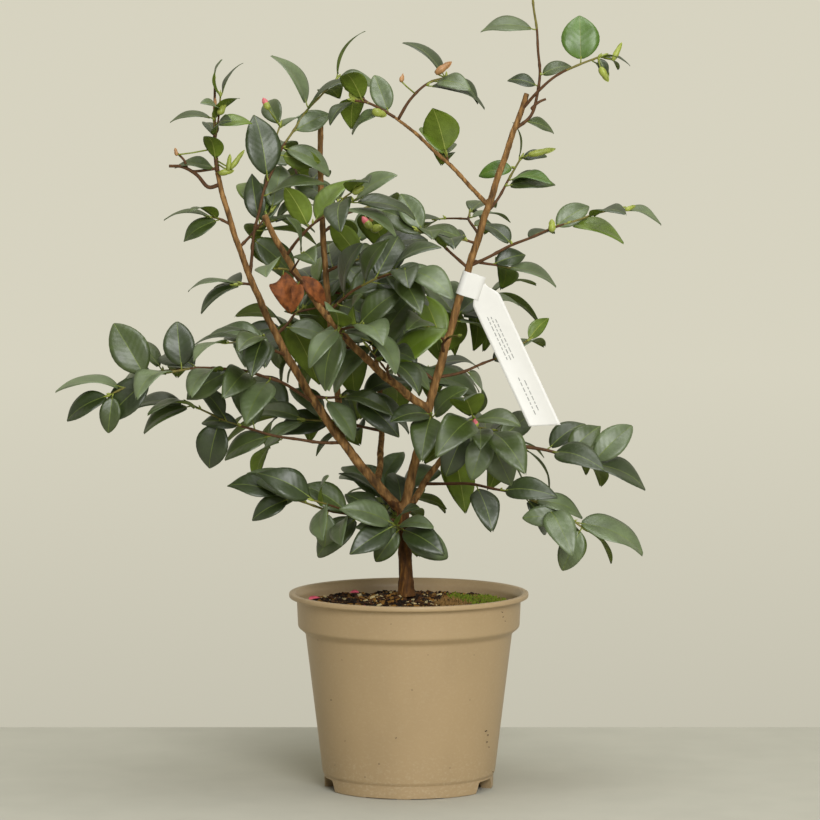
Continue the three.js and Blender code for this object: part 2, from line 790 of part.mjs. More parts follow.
// The seeded leaves of a mass. Each is tried in a few poses, and skipped where none is clear.
function seededLeaves(name, mass) {
  const draw = seeded(mass.seed);
  const vary = LEAF_VARIETY;
  mass.sideTwigs = sideTwigs(name, mass, draw);
  const leaves = [];
  const twigs = [[mass.stem, mass.leafy], ...mass.sideTwigs.map((path) => [path, [0.35, 1]])];
  for (const [path, leafy] of twigs) {
    const phase = draw(0, 2 * Math.PI);
    leafSites(path, leafy, mass.gap ?? LEAF_SPACING).forEach((site, k) => {
      const length = mass.leaf * draw(...vary.length);
      const size = { length, width: length * draw(...vary.ratio), curl: draw(...vary.curl) };
      for (let attempt = 0; attempt < LEAF_TRIES; attempt += 1) {
        const turn = phase + k * LEAF_TURN + draw(...vary.turn) + attempt * vary.nextTry;
        const spread = site.tip ? draw(...vary.tipSpread) : draw(...vary.spread);
        const sag = draw(...vary.sag);
        const tilt = vary.tilt.map((range) => draw(...range));
        const leaf = seededLeaf(site, turn, spread, sag, tilt, size);
        if (leafIsClear(leaf, name, false)) {
          leaves.push(leaf);
          claim(leafPoints(leaf), name);
          break;
        }
      }
    });
  }
  return leaves;
}

// A leaf's solid: its outline in six points, thickest near its foot, which is sunk in the twig.
function leafSolid(leaf) {
  const foot = subtract(leaf.base, scale(leaf.along, LEAF_SINK));
  const thickest = leafPoint(leaf, LEAF_THICKEST, 0);
  const corners = [
    foot,
    leafPoint(leaf, LEAF_CORNERS[0], -1),
    leafPoint(leaf, LEAF_CORNERS[1], -1),
    leafPoint(leaf, 1, 0),
    leafPoint(leaf, LEAF_CORNERS[1], 1),
    leafPoint(leaf, LEAF_CORNERS[0], 1),
    add(thickest, scale(leaf.face, LEAF_THICKNESS / 2)),
    add(thickest, scale(leaf.face, -LEAF_THICKNESS / 2)),
  ];
  const faces = [];
  for (let i = 0; i < 6; i += 1) faces.push(6, (i + 1) % 6, i, 7, i, (i + 1) % 6);
  const geometry = new THREE.BufferGeometry();
  geometry.setAttribute("position", new THREE.Float32BufferAttribute(corners.flat(), 3));
  geometry.setIndex(faces);
  return solidOf(geometry);
}

// The pot: a turned shell with a flat pad under its middle, drain holes, and notches through its foot.
function potSolid() {
  const profile = [
    [0, 0],
    [POT.padRadius, 0],
    [POT.padRadius + POT.padSlope, POT.recessHeight],
    [POT.footInnerRadius, POT.recessHeight],
    [POT.footInnerRadius + 1.5, 0],
    [POT.footRadius, 0],
    [POT.footRadius + 0.3, POT.footHeight - 1],
    [POT.bodyFootRadius, POT.footHeight + 1.5],
    [POT.bodyTopRadius, POT.shoulderHeight],
    [POT.bandFootRadius, POT.bandHeight],
    [POT.bandTopRadius, POT.lipHeight - 0.5],
    [POT.rimRadius, POT.lipHeight + 0.5],
    [POT.rimRadius, POT.height - 1],
    [POT.rimRadius - 1, POT.height],
    [POT.rimRadius - 5, POT.height],
    ...innerWall(0),
    ...innerFloor(0),
  ];
  let pot = turned(profile, POT.sides);
  for (const bearing of NOTCH.bearings) pot = pot.subtract(notchSolid(bearing));
  for (const bearing of RELIEF.bearings) pot = pot.subtract(reliefSolid(bearing));
  for (let k = 0; k < DRAIN.count; k += 1) pot = pot.subtract(drainSolid((360 * (k + 0.5)) / DRAIN.count));
  return pot;
}

// The inside of the pot's wall from the lip down to the floor's edge, moved in by a gap.
function innerWall(gap) {
  const inner = POT.recessHeight + POT.floor + gap;
  return [
    [POT.bandTopRadius - POT.wall - gap, POT.lipHeight - 1],
    [POT.bandFootRadius - POT.wall - gap, POT.bandHeight + 1],
    [POT.bodyTopRadius - POT.wall - gap, POT.shoulderHeight + 1],
    [POT.bodyFootRadius - POT.wall - gap, inner + 3.5],
    [POT.bodyFootRadius - POT.wall - gap - 2, inner],
  ];
}

// The inside of the floor, from its raised ring down to the middle of the pad.
function innerFloor(gap) {
  return [
    [POT.padRadius + POT.padSlope - POT.wall - gap, POT.recessHeight + POT.floor + gap],
    [POT.padRadius - POT.wall - gap, POT.floor + gap],
    [0, POT.floor + gap],
  ];
}

// A cutter through the foot ring: wider at the floor than above, so the feet have sloping ends.
function notchSolid(bearing) {
  const low = NOTCH.width / 2;
  const high = low - NOTCH.slope;
  const outline = new THREE.Shape();
  outline.moveTo(-low, -1);
  outline.lineTo(low, -1);
  outline.lineTo(high, POT.recessHeight - 0.5);
  outline.lineTo(-high, POT.recessHeight - 0.5);
  outline.closePath();
  const cutter = new THREE.ExtrudeGeometry(outline, { depth: CUTTER_DEPTH, bevelEnabled: false });
  return solidOf(placeCutter(cutter, bearing, POT.footInnerRadius - 4));
}

function reliefSolid(bearing) {
  const cutter = new THREE.BoxGeometry(RELIEF.width, 2 * RELIEF.height, CUTTER_DEPTH);
  return solidOf(placeCutter(cutter.translate(0, 0, CUTTER_DEPTH / 2), bearing, POT.footInnerRadius + 4));
}

// Turns a cutter made along Z, upright in Y, to point out from the axis on a bearing.
function placeCutter(cutter, bearing, radius) {
  return cutter.translate(0, 0, radius).rotateX(Math.PI / 2).rotateZ(radians(bearing + 90));
}

function drainSolid(bearing) {
  const b = radians(bearing);
  const hole = new THREE.CylinderGeometry(DRAIN.radius, DRAIN.radius, 12, 8).rotateX(Math.PI / 2);
  hole.translate(Math.cos(b) * DRAIN.circle, Math.sin(b) * DRAIN.circle, POT.recessHeight + 1);
  return solidOf(hole);
}

// The potting mix fills the pot from its floor to a low mound round the trunk.
function soilSolid() {
  const edge = POT.bandFootRadius - POT.wall - GAP;
  const profile = [
    ...innerFloor(GAP).reverse(),
    ...innerWall(GAP).slice(1).reverse(),
    [edge + 0.6, SOIL.wallLevel - 1],
    [edge - 1, SOIL.wallLevel],
    [SOIL.slopeRadius, SOIL.slopeLevel],
    [SOIL.moundRadius, SOIL.moundLevel],
    [SOIL.trunkRadius, SOIL.trunkLevel],
    [0, SOIL.trunkLevel],
  ];
  return turned(profile, POT.sides);
}

// The label's frame: X across its blade, Y down the blade's length, from where the band closes.
function labelFrame(limbs) {
  const { point, direction } = along(limbs[LABEL.limb].points, LABEL.at);
  const right = unit(subtract([1, 0, 0], scale(direction, direction[0])));
  const lean = radians(LABEL.lean);
  return {
    point,
    direction,
    right,
    front: cross(direction, right),
    head: add(point, scale(right, LABEL.bandReach)),
    down: [Math.sin(lean), 0, -Math.cos(lean)],
    across: [Math.cos(lean), 0, Math.sin(lean)],
  };
}

// A shape in a plane through an origin, extruded both ways along the plane's normal.
function plate(shape, origin, x, y, depth) {
  const basis = new THREE.Matrix4().makeBasis(
    new THREE.Vector3(...x),
    new THREE.Vector3(...y),
    new THREE.Vector3(...cross(x, y)),
  );
  const geometry = new THREE.ExtrudeGeometry(shape, { depth, bevelEnabled: false, curveSegments: 10 });
  return solidOf(geometry.translate(0, 0, -depth / 2).applyMatrix4(basis).translate(...origin));
}

// The band's outline seen along the bough: round the bough, and straight to where it closes.
function teardrop(Kind, radius, reach) {
  const open = Math.acos(radius / reach);
  const outline = new Kind();
  outline.absarc(0, 0, radius, open, 2 * Math.PI - open, false);
  outline.lineTo(reach, 0);
  outline.closePath();
  return outline;
}

function labelSolid(limbs) {
  const frame = labelFrame(limbs);
  const inside = limbs[LABEL.limb].radiusAt(LABEL.at) + GAP;
  const band = teardrop(THREE.Shape, inside + LABEL.thickness, LABEL.bandReach + 2);
  band.holes.push(teardrop(THREE.Path, inside, LABEL.bandReach));
  const front = scale(frame.front, -1);
  const ring = plate(band, frame.point, frame.right, front, LABEL.bandHeight);
  const blade = new THREE.Shape();
  blade.moveTo(-LABEL.headHalf, -3);
  blade.lineTo(LABEL.headHalf, -3);
  blade.lineTo(LABEL.bladeHalf, LABEL.shoulder);
  blade.lineTo(LABEL.bladeHalf, LABEL.bladeLength);
  blade.lineTo(-LABEL.bladeHalf, LABEL.bladeLength - LABEL.endSlant);
  blade.lineTo(-LABEL.bladeHalf, LABEL.shoulder);
  blade.closePath();
  const label = ring.add(plate(blade, frame.head, frame.across, frame.down, LABEL.thickness));
  return largestBody(label.subtract(limbWithGap(limbs[LABEL.limb])));
}

function labelPoints(limbs) {
  const frame = labelFrame(limbs);
  const found = [];
  for (let down = -12; down <= LABEL.bladeLength; down += 3) {
    for (let out = -LABEL.bladeHalf; out <= LABEL.bladeHalf; out += 3) {
      found.push(add(frame.head, add(scale(frame.down, down), scale(frame.across, out))));
    }
  }
  return found;
}

// The limbs: their lines, their radius at each share, and their solids, each cut clear of the ones before.
function growLimbs() {
  const limbs = {};
  for (const [name, limb] of Object.entries(LIMBS)) {
    const start = limb.parent ? along(limbs[limb.parent].points, limb.at).point : TRUNK_FOOT;
    const steps = Math.max(4, Math.floor(limb.length / LIMB_STEP));
    const points = growPath(start, limb, steps, limb.parent ? LIMB_KINK : 0);
    const flareShare = limb.parent ? 0 : ROOT_FLARE.share;
    const flare = (t) => flareShare * Math.exp((-t * limb.length) / ROOT_FLARE.height);
    const radiusAt = (t) => mix(limb.radius[0], limb.radius[1], t) * (1 + flare(t));
    limbs[name] = { points, radiusAt, radius: limb.radius };
  }
  return limbs;
}

function limbSolids(limbs) {
  const solids = {};
  const cutters = [];
  for (const [name, limb] of Object.entries(limbs)) {
    let solid = rod(limb.points, limb.radiusAt, LIMB_SIDES);
    for (const cutter of cutters) solid = solid.subtract(cutter);
    solids[name] = largestBody(solid);
    cutters.push(limbWithGap(limb));
  }
  return solids;
}

// The crown: the limbs, label and stems claim their space first, then the shown leaves, then the seeded ones.
function growCrown(limbs) {
  for (const [name, limb] of Object.entries(limbs)) claim(rodPoints(limb.points, limb.radius), name);
  claim(labelPoints(limbs), "label");
  const crown = {};
  for (const [name, row] of Object.entries(FOLIAGE)) {
    const mass = { leafy: [0.18, 1], ...row };
    const root = along(limbs[mass.limb].points, mass.at).point;
    const steps = Math.max(3, Math.floor(mass.length / TWIG_STEP));
    mass.stem = growPath(root, mass, steps, TWIG_KINK);
    claim(rodPoints(mass.stem, [mass.thick ?? TWIG_RADIUS.stem, TWIG_RADIUS.stemTip]), name);
    crown[name] = mass;
  }
  for (const [name, mass] of Object.entries(crown)) {
    mass.leaves = [];
    for (const row of mass.shown ?? []) {
      const leaf = shownLeaf(mass.stem, row);
      if (leafIsClear(leaf, name, true)) {
        mass.leaves.push(leaf);
        claim(leafPoints(leaf), name);
      }
    }
  }
  keepBoughsInView(limbs);
  labelPoints(limbs).forEach(keepInView);
  for (const [name, mass] of Object.entries(crown)) mass.leaves.push(...seededLeaves(name, mass));
  return crown;
}

// One foliage mass: its stem, twigs and leaves fused, and cut clear of its limb.
function massSolid(mass, limbs) {
  const thick = mass.thick ?? TWIG_RADIUS.stem;
  let solid = rod(mass.stem, (t) => mix(thick, TWIG_RADIUS.stemTip, t), 3);
  for (const path of mass.sideTwigs) {
    solid = solid.add(rod(path, (t) => mix(TWIG_RADIUS.side, TWIG_RADIUS.sideTip, t), 3));
  }
  for (const leaf of mass.leaves) solid = solid.add(leafSolid(leaf));
  return largestBody(solid.subtract(limbWithGap(limbs[mass.limb])));
}

function meshOf(name, solid, slot) {
  const material = new THREE.MeshStandardMaterial({ color: COLOURS[slot], metalness: 0, ...FINISH[slot] });
  const mesh = new THREE.Mesh(geometryOf(solid), material);
  mesh.name = name;
  return mesh;
}

const limbs = growLimbs();
const crown = growCrown(limbs);
const plant = new THREE.Group();
plant.add(meshOf("pot", potSolid(), "pot"));
plant.add(meshOf("soil", soilSolid(), "soil"));
for (const [name, solid] of Object.entries(limbSolids(limbs))) plant.add(meshOf(name, solid, "bark"));
for (const [name, mass] of Object.entries(crown)) plant.add(meshOf(name, massSolid(mass, limbs), "leaf"));
plant.add(meshOf("label", labelSolid(limbs), "label"));

export default plant;
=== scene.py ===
# A young camellia shrub in a five-litre grower's pot.
# The growth rule works in millimetres, X to the right, Y to the back and Z up, and the pieces are in metres.
# A bearing is in degrees seen from above: 0 right, 90 back, 180 left, 270 front. A rise is above level.
import json
import math

import bpy
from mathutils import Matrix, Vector, noise

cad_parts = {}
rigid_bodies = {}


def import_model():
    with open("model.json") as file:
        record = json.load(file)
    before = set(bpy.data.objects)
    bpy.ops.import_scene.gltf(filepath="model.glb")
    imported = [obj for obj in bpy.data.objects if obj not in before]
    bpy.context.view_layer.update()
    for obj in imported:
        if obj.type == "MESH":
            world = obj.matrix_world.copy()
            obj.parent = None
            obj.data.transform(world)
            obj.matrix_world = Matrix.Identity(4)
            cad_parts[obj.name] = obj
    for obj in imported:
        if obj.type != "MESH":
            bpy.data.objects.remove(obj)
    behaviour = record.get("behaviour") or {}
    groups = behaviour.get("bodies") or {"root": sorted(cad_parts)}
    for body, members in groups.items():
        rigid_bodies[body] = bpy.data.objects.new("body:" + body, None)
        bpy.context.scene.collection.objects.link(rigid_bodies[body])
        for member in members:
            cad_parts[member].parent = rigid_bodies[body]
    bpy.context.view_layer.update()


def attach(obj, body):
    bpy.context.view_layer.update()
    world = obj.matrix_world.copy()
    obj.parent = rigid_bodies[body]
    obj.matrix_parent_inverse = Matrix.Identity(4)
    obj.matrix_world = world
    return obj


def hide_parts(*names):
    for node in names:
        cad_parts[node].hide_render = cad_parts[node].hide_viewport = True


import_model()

MM = 0.001


# Three numbers at full precision. The @ of two is their dot product.
class V(tuple):
    def __new__(cls, x, y, z):
        return tuple.__new__(cls, (x, y, z))

    def __add__(self, other):
        return V(self[0] + other[0], self[1] + other[1], self[2] + other[2])

    def __sub__(self, other):
        return V(self[0] - other[0], self[1] - other[1], self[2] - other[2])

    def __mul__(self, k):
        return V(self[0] * k, self[1] * k, self[2] * k)

    def __matmul__(self, other):
        return self[0] * other[0] + self[1] * other[1] + self[2] * other[2]


# The photograph's camera: where it stands, what it looks at, and its focal length in pixels of 820.
PHOTO_SIZE = 820
FOCAL = 4437.0
CAMERA = V(1.1, -4050.0, 690.0)
AIM = V(1.1, 0.0, 347.7)

# The pot. Radii are outer ones, and heights are measured from the underside.
POT = {
    "height": 180, "wall": 1.8, "floor": 2.2, "pad_radius": 34, "pad_slope": 2, "recess_height": 11,
    "foot_inner_radius": 66, "foot_radius": 77.6, "foot_height": 13, "body_foot_radius": 79.4,
    "shoulder_height": 143, "body_top_radius": 95, "band_height": 148.5, "band_foot_radius": 101.8,
    "band_top_radius": 103, "lip_height": 175, "rim_radius": 110,
}
NOTCH = {"bearings": (197, 335, 86), "width": 36, "slope": 5, "corner": 1.5}
DRAIN = {"count": 6, "radius": 4.5, "circle": 51}
RELIEF = {"bearings": (251, 283), "width": 30, "height": 0.8}
POT_SIDES = 176
SOIL = {
    "wall_level": 167, "slope_radius": 60, "slope_level": 170, "mound_radius": 24, "mound_level": 173.7,
    "trunk_radius": 10, "trunk_level": 175.7,
}
GAP = 0.3

# Limbs start on their parent's axis, at a share of the parent's length. Each pair runs from foot to tip.
TRUNK_FOOT = V(-2.0, 0.0, 176.0)
ROOT_FLARE = {"share": 0.45, "height": 8}
LIMB_STEP = 20
LIMB_KINK = 3
LIMB_COLUMNS = ("parent", "at", "bearing", "rise", "length", "radius")
LIMB_ROWS = {
    "trunk": (None, 0, (180, 180), (88, 87), 78, (6.4, 5.8)),
    "bough_left": ("trunk", 1, (188, 176), (46, 77), 360, (4.7, 2.3)),
    "bough_right": ("trunk", 1, (-10, 6), (77, 70), 400, (4.5, 2.6)),
    "bough_front": ("bough_right", 0.245, (215, 188), (31, 65), 246, (3.8, 2.7)),
    "bough_back": ("bough_left", 0.24, (110, 150), (73, 92), 302, (3.1, 2.6)),
    "bough_rear": ("trunk", 0.94, (45, 15), (50, 52), 90, (3.7, 2.4)),
    "bough_rear_left": ("bough_left", 0.1, (80, 110), (42, 62), 180, (3.2, 2)),
    "bough_arch": ("bough_right", 0.73, (178, 192), (49, 38), 118, (2.2, 1.5)),
}
LIMBS = {name: dict(zip(LIMB_COLUMNS, row)) for name, row in LIMB_ROWS.items()}
CUT_TIPS = ("bough_right", "bough_front", "bough_back")

# The loop label round the right bough.
LABEL = {
    "limb": "bough_right", "at": 0.545, "band_height": 22, "band_reach": 16, "lean": 25,
    "head_half": 5.5, "shoulder": 13, "blade_half": 13.5, "blade_length": 144, "end_slant": 11,
}

# Leaves are spaced along their twigs, each turned on from the last, and keep clear of each other in cells.
CELL = 5
LEAF_TURN = 2.4
LEAF_FOLD = 0.28
LEAF_STALK = 0.1
LEAF_FACE = {"toward": V(0, -0.3, 0.85), "outward": 0.25}
LEAF_ROOM = {"above_pot": 7, "beside_pot": 15, "foot": 7, "near": 12, "shown_foot": 10, "past_reach": 6}
LEAF_VARIETY = {
    "length": (0.78, 1.18), "ratio": (0.46, 0.58), "curl": (0.1, 0.32), "turn": (-0.5, 0.5),
    "spread": (0.65, 1.15), "tip_spread": (0.25, 0.7), "sag": (0, 0.3),
    "tilt": ((-0.5, 0.5), (-0.6, 0.4), (-0.3, 0.3)), "next_try": 1.1,
}
SHOWN_LEAF = {"ratio": 0.54, "curl": 0.18, "facing": V(0, -1, 0.25)}
TWIG_STEP = 20
TWIG_KINK = 4
TWIG_RADIUS = {"stem": 1.3, "stem_tip": 0.7, "side": 0.9, "side_tip": 0.6}
SIDE_TWIG = {
    "bearing": (35, 60), "rise": (-10, 25), "share": (0.28, 0.42), "extra": 12, "bend": 15, "fall": 8,
}

# Seeded leaves: their spacing, how often each is tried, the bare share of a side twig, and their size.
SEEDED = {"gap": 22, "tries": 9, "bare": 0.35, "length": 1}

# More leaves by the same rule, in the cells left free inside the crown, on each mass's own twigs and within
# its reach, for the masses whose names start with these. The outer sprays stay open as they show.
FINE = {"gap": 8, "tries": 18, "bare": 0.3, "length": 0.98, "seed_shift": 400}
DENSE = (
    "inner_left", "inner_mid", "inner_low", "center_mid", "center_low", "center_green", "front_low",
    "front_mid", "back_mid", "back_right_low", "back_right_mid", "rear", "low_back", "low_front",
    "left_front",
)

# The stretches of bough that show in full, as shares of their length. No seeded leaf hangs between them,
# or the label, and the place they are seen from.
VIEWPOINT = V(1, -4050, 690)
VIEW = {"step": 5, "first": 2, "last": 59, "front": -180}
IN_VIEW = {
    "bough_front": ((0.1, 1),), "bough_left": ((0.02, 0.4), (0.52, 0.92)), "bough_right": ((0.3, 1),),
    "bough_arch": ((0, 0.6),), "bough_back": ((0.5, 0.64), (0.9, 1)),
}

# The foliage masses. Each has one stem from its limb, side twigs and leaves by the seeded rule below.
# A row names its columns, what differs from the others, and then the leaves that stand out in the outline:
# (share of the stem, bearing, rise, length, roll), and the width over the length of a rounder leaf.
FOLIAGE_COLUMNS = ("limb", "at", "bearing", "rise", "length", "leaf", "seed")
FOLIAGE = {
    "low_left": ("trunk", 0.9, (188, 195), (3, 23), 116, 50, 70, {"twigs": 1, "leafy": (0.3, 1)},
        (0.8, 180, 36, 60, 35), (1, 185, 20, 50, 35), (0.43, 178, 38, 52, 30), (0.16, 165, 38, 44, 20),
        (0.93, 190, -22, 40, 20), (0.61, 200, -84, 37, 0), (0.35, 185, -37, 54, 20)),
    "low_front": ("trunk", 0.8, (268, 250), (0, 25), 40, 46, 88, {},
        (0.6, 190, -52, 38, 0), (0.5, 350, -29, 50, 0), (0.9, 330, 12, 36, 50)),
    "low_back": ("trunk", 0.84, (100, 112), (8, 30), 95, 50, 414, {"twigs": 1}),
    "left_under": ("bough_left", 0.235, (178, 172), (0, 28), 150, 50, 45, {"leafy": (0.28, 1)},
        (0.44, 182, -17, 49, 35), (0.78, 190, -74, 48, 10, 0.66), (0.64, 175, 13, 37, 30),
        (1, 178, 5, 54, 55), (0.97, 188, -17, 50, 50)),
    "left_reach": ("bough_left", 0.355, (212, 180), (38, -30), 206, 52, 432,
        {"twigs": 1, "leafy": (0.2, 1)},
        (0.83, 178, 60, 58, 0, 0.6), (0.67, 172, 84, 44, 0, 0.66), (0.93, 180, 10, 62, 65),
        (1, 186, -22, 46, 30), (0.99, 230, -78, 36, 0), (0.8, 186, -40, 58, 10), (0.44, 184, -27, 50, 15)),
    "left_front": ("bough_left", 0.5, (235, 215), (25, 0), 75, 54, 10, {"twigs": 1}),
    "left_side": ("bough_left", 0.7, (182, 188), (10, -5), 14, 50, 370, {"leafy": (0.3, 1), "gap": 12},
        (0.9, 182, 6, 46, 70), (0.7, 200, -20, 46, 60)),
    "left_high": ("bough_left", 0.86, (185, 190), (35, 10), 20, 48, 63, {"leafy": (0.3, 1), "gap": 12},
        (0.8, 180, 12, 46, 70), (0.6, 190, -22, 38, 30)),
    "left_top": ("bough_left", 1, (150, 60), (84, 88), 84, 36, 467,
        {"thick": 1, "twigs": 2, "leafy": (0, 0.5), "gap": 18},
        (0.03, 178, 15, 38, 50), (0.5, 5, 14, 34, 40), (0.58, 180, 8, 40, 60)),
    "inner_top": ("bough_left", 0.72, (50, 5), (87, 42), 204, 50, 151,
        {"twigs": 1, "leafy": (0.3, 1), "gap": 24},
        (0.82, 178, 68, 58, 62), (0.69, 10, 30, 40, 10), (0.44, 176, 82, 62, 15), (0.57, 5, -10, 38, 170),
        (0.61, 350, -20, 49, 40)),
    "inner_left": ("bough_left", 0.8, (70, 40), (30, 20), 55, 50, 431, {"twigs": 1}),
    "inner_mid": ("bough_left", 0.56, (60, 70), (30, 15), 60, 52, 41, {"twigs": 1}),
    "inner_low": ("bough_left", 0.38, (5, 30), (-5, 5), 46, 50, 7, {}),
    "center_high": ("bough_front", 0.83, (-40, 0), (53, 21), 86, 52, 434, {"twigs": 1, "leafy": (0.3, 1)},
        (0.95, 355, -2, 58, 55), (0.42, 172, 63, 42, 160)),
    "front_high": ("bough_front", 0.7, (250, 235), (35, 5), 55, 52, 110, {"twigs": 1}),
    "front_mid": ("bough_front", 0.44, (255, 275), (28, 0), 62, 52, 406, {"twigs": 1}),
    "front_low": ("bough_front", 0.2, (262, 280), (35, 5), 70, 54, 411, {"twigs": 1}),
    "center_mid": ("bough_front", 0.56, (-50, -10), (42, 20), 80, 54, 177, {"twigs": 1}),
    "center_green": ("bough_back", 0.52, (-30, 10), (30, 10), 40, 50, 388, {},
        (0.9, 172, 52, 42, 165)),
    "back_mid": ("bough_back", 0.4, (95, 110), (25, 5), 100, 54, 284, {"twigs": 1}),
    "back_high": ("bough_back", 0.64, (60, 40), (30, 5), 80, 50, 440, {"twigs": 1}),
    "back_top": ("bough_back", 0.78, (110, 150), (20, 0), 55, 48, 104, {"twigs": 1}),
    "arch_low": ("bough_arch", 0.46, (90, 110), (55, 55), 9, 44, 441, {"leafy": (0.9, 1), "gap": 30},
        (1, 168, 76, 44, 165, 0.78), (0.8, 140, 50, 42, 30)),
    "arch_left": ("bough_arch", 1, (185, 200), (38, 8), 42, 46, 408,
        {"twigs": 1, "leafy": (0.1, 1), "gap": 14},
        (0.15, 172, 70, 38, 0)),
    "arch_right": ("bough_arch", 0.97, (-10, 10), (71, 8), 66, 44, 114, {"leafy": (0.5, 1), "gap": 40},
        (0.92, 172, 52, 50, 60), (1, 0, -34, 34, 50), (0.62, 0, -8, 56, 62)),
    "center_leaf": ("bough_right", 0.58, (200, 215), (46, 26), 64, 52, 327, {"twigs": 1, "leafy": (0.3, 1)},
        (0.9, 165, 60, 42, 0)),
    "center_right": ("bough_right", 0.64, (190, 200), (20, 10), 14, 44, 250, {"leafy": (0.5, 1), "gap": 20},
        (0.7, 176, 22, 44, 50)),
    "center_low": ("bough_right", 0.31, (190, 200), (45, 20), 75, 54, 66, {"twigs": 1}),
    "right_reach": ("bough_right", 0.585, (-8, 4), (29, 14), 148, 40, 171, {"leafy": (0.2, 1), "gap": 40},
        (1, 0, -8, 40, 58), (0.66, 0, -6, 54, 50), (0.57, 8, 35, 40, 10), (0.3, 150, 40, 36, 30)),
    "right_twig": ("bough_right", 0.71, (60, 15), (35, 66), 66, 40, 285, {"leafy": (0.3, 1), "gap": 40},
        (0.55, 355, 12, 45, 35), (0.85, 180, -5, 34, 20), (1, 0, 15, 24, 30)),
    "right_mid": ("bough_right", 0.6, (20, 0), (-12, -10), 40, 48, 157, {"leafy": (0.3, 1), "gap": 16},
        (0.8, 0, -8, 50, 55), (0.5, 10, 20, 34, 10)),
    "behind_tag": ("bough_right", 0.32, (25, 10), (9, 31), 94, 46, 130, {},
        (1, 20, 50, 28, 150)),
    "top_shoot": ("bough_right", 0.912, (4, 10), (22, 97), 160, 40, 480,
        {"settle": 5, "leafy": (0.8, 1), "gap": 40},
        (0.62, 180, 10, 50, 45), (0.36, 0, 25, 30, 30), (0.3, 180, 20, 28, 30), (0.08, 10, -12, 30, 40),
        (0.84, 0, 38, 42, 20), (1, 175, 62, 38, 15)),
    "top_side": ("bough_right", 0.96, (-26, 10), (54, 13), 90, 30, 210, {"leafy": (0.8, 1), "gap": 40},
        (0.78, 180, 89, 44, 0, 0.8), (0.97, 0, -60, 18, 0)),
    "back_right_high": ("bough_right", 0.66, (110, 80), (20, 5), 90, 50, 334, {"twigs": 1}),
    "back_right_mid": ("bough_right", 0.43, (85, 60), (25, 5), 115, 54, 27, {"twigs": 1}),
    "right_front": ("bough_right", 0.19, (300, 325), (20, -10), 95, 56, 305, {"twigs": 2},
        (0.9, 340, -61, 57, 0), (0.7, 210, -63, 48, 0), (0.95, 230, -62, 47, 0)),
    "right_front_high": ("bough_right", 0.38, (265, 300), (30, 5), 68, 54, 396, {"twigs": 1},
        (0.3, 172, 70, 50, 165)),
    "right_low": ("bough_rear", 1, (-15, -5), (0, -19), 130, 50, 179, {"twigs": 1, "leafy": (0.2, 1)},
        (1, 5, 47, 51, 10), (0.97, 0, -14, 58, 45), (0.8, 10, 43, 44, 10)),
    "right_under": ("bough_rear", 0.42, (-22, -8), (8, -34), 158, 50, 113, {"leafy": (0.25, 1)},
        (0.94, 0, -14, 70, 45), (1, 190, -65, 44, 0), (0.88, 195, 0, 38, 0), (0.66, 0, -8, 50, 45)),
    "back_right_low": ("bough_rear", 0.75, (75, 50), (10, 0), 105, 54, 194, {"twigs": 1}),
    "rear_left_low": ("bough_rear_left", 0.35, (140, 165), (8, 5), 110, 54, 231, {"twigs": 1}),
    "rear_left_mid": ("bough_rear_left", 0.75, (135, 160), (25, 10), 110, 54, 432, {"twigs": 1}),
    "rear_mid": ("bough_rear_left", 0.6, (60, 40), (20, 5), 85, 54, 440, {"twigs": 1}),
    "rear_top": ("bough_rear_left", 1, (95, 80), (50, 25), 100, 52, 339, {"twigs": 2, "leafy": (0.2, 1)}),
}


UP = V(0.0, 0.0, 1.0)


def cross(a, b):
    return V(a[1] * b[2] - a[2] * b[1], a[2] * b[0] - a[0] * b[2], a[0] * b[1] - a[1] * b[0])


def length_of(a):
    return math.sqrt(a @ a)


def unit(a):
    return a * (1 / length_of(a))


def mix(a, b, t):
    return a + (b - a) * t


def heading(bearing, rise):
    b = math.radians(bearing)
    r = math.radians(rise)
    return V(math.cos(r) * math.cos(b), math.cos(r) * math.sin(b), math.sin(r))


# A step to the side, at an angle from the first direction towards the second.
def round_step(first, second, angle, radius):
    return first * (math.cos(angle) * radius) + second * (math.sin(angle) * radius)


# The same numbers in the same order for each seed.
def seeded(seed):
    state = [(seed * 7919 + 12345) % 2147483646 + 1]

    def draw(low=0.0, high=1.0):
        state[0] = state[0] * 48271 % 2147483647
        return low + (high - low) * state[0] / 2147483647

    draw()
    draw()
    return draw


# A growing line: its heading turns from the first bearing and rise to the last, with a kink at each step.
def grow_path(start, grown, steps, kink):
    points = [start]
    for i in range(steps):
        t = 1 - (1 - (i + 0.5) / steps) ** grown.get("settle", 1)
        side = kink if i % 2 else -kink
        bearing = mix(*grown["bearing"], t) + side
        rise = mix(*grown["rise"], t) + side * 0.6
        points.append(points[i] + heading(bearing, rise) * (grown["length"] / steps))
    return points


# The point and the heading at a share of a line's length.
def along(points, share):
    last = len(points) - 1
    s = min(max(share, 0.0), 1.0) * last
    i = min(int(s), last - 1)
    step = points[i + 1] - points[i]
    return points[i] + step * (s - i), unit(step)


def path_length(points):
    return sum(length_of(b - a) for a, b in zip(points, points[1:]))


# The crown's space, divided into cells. Each cell belongs to the first piece that fills it.
space = {}
ROW = 512


def cell_of(p):
    x = math.floor(p[0] / CELL) + 256
    y = math.floor(p[1] / CELL) + 256
    return (x * ROW + y) * ROW + math.floor(p[2] / CELL) + 64


NEIGHBOURS = [(x * ROW + y) * ROW + z for x in (-1, 0, 1) for y in (-1, 0, 1) for z in (-1, 0, 1)]


def claim(points, owner):
    for p in points:
        space.setdefault(cell_of(p), owner)


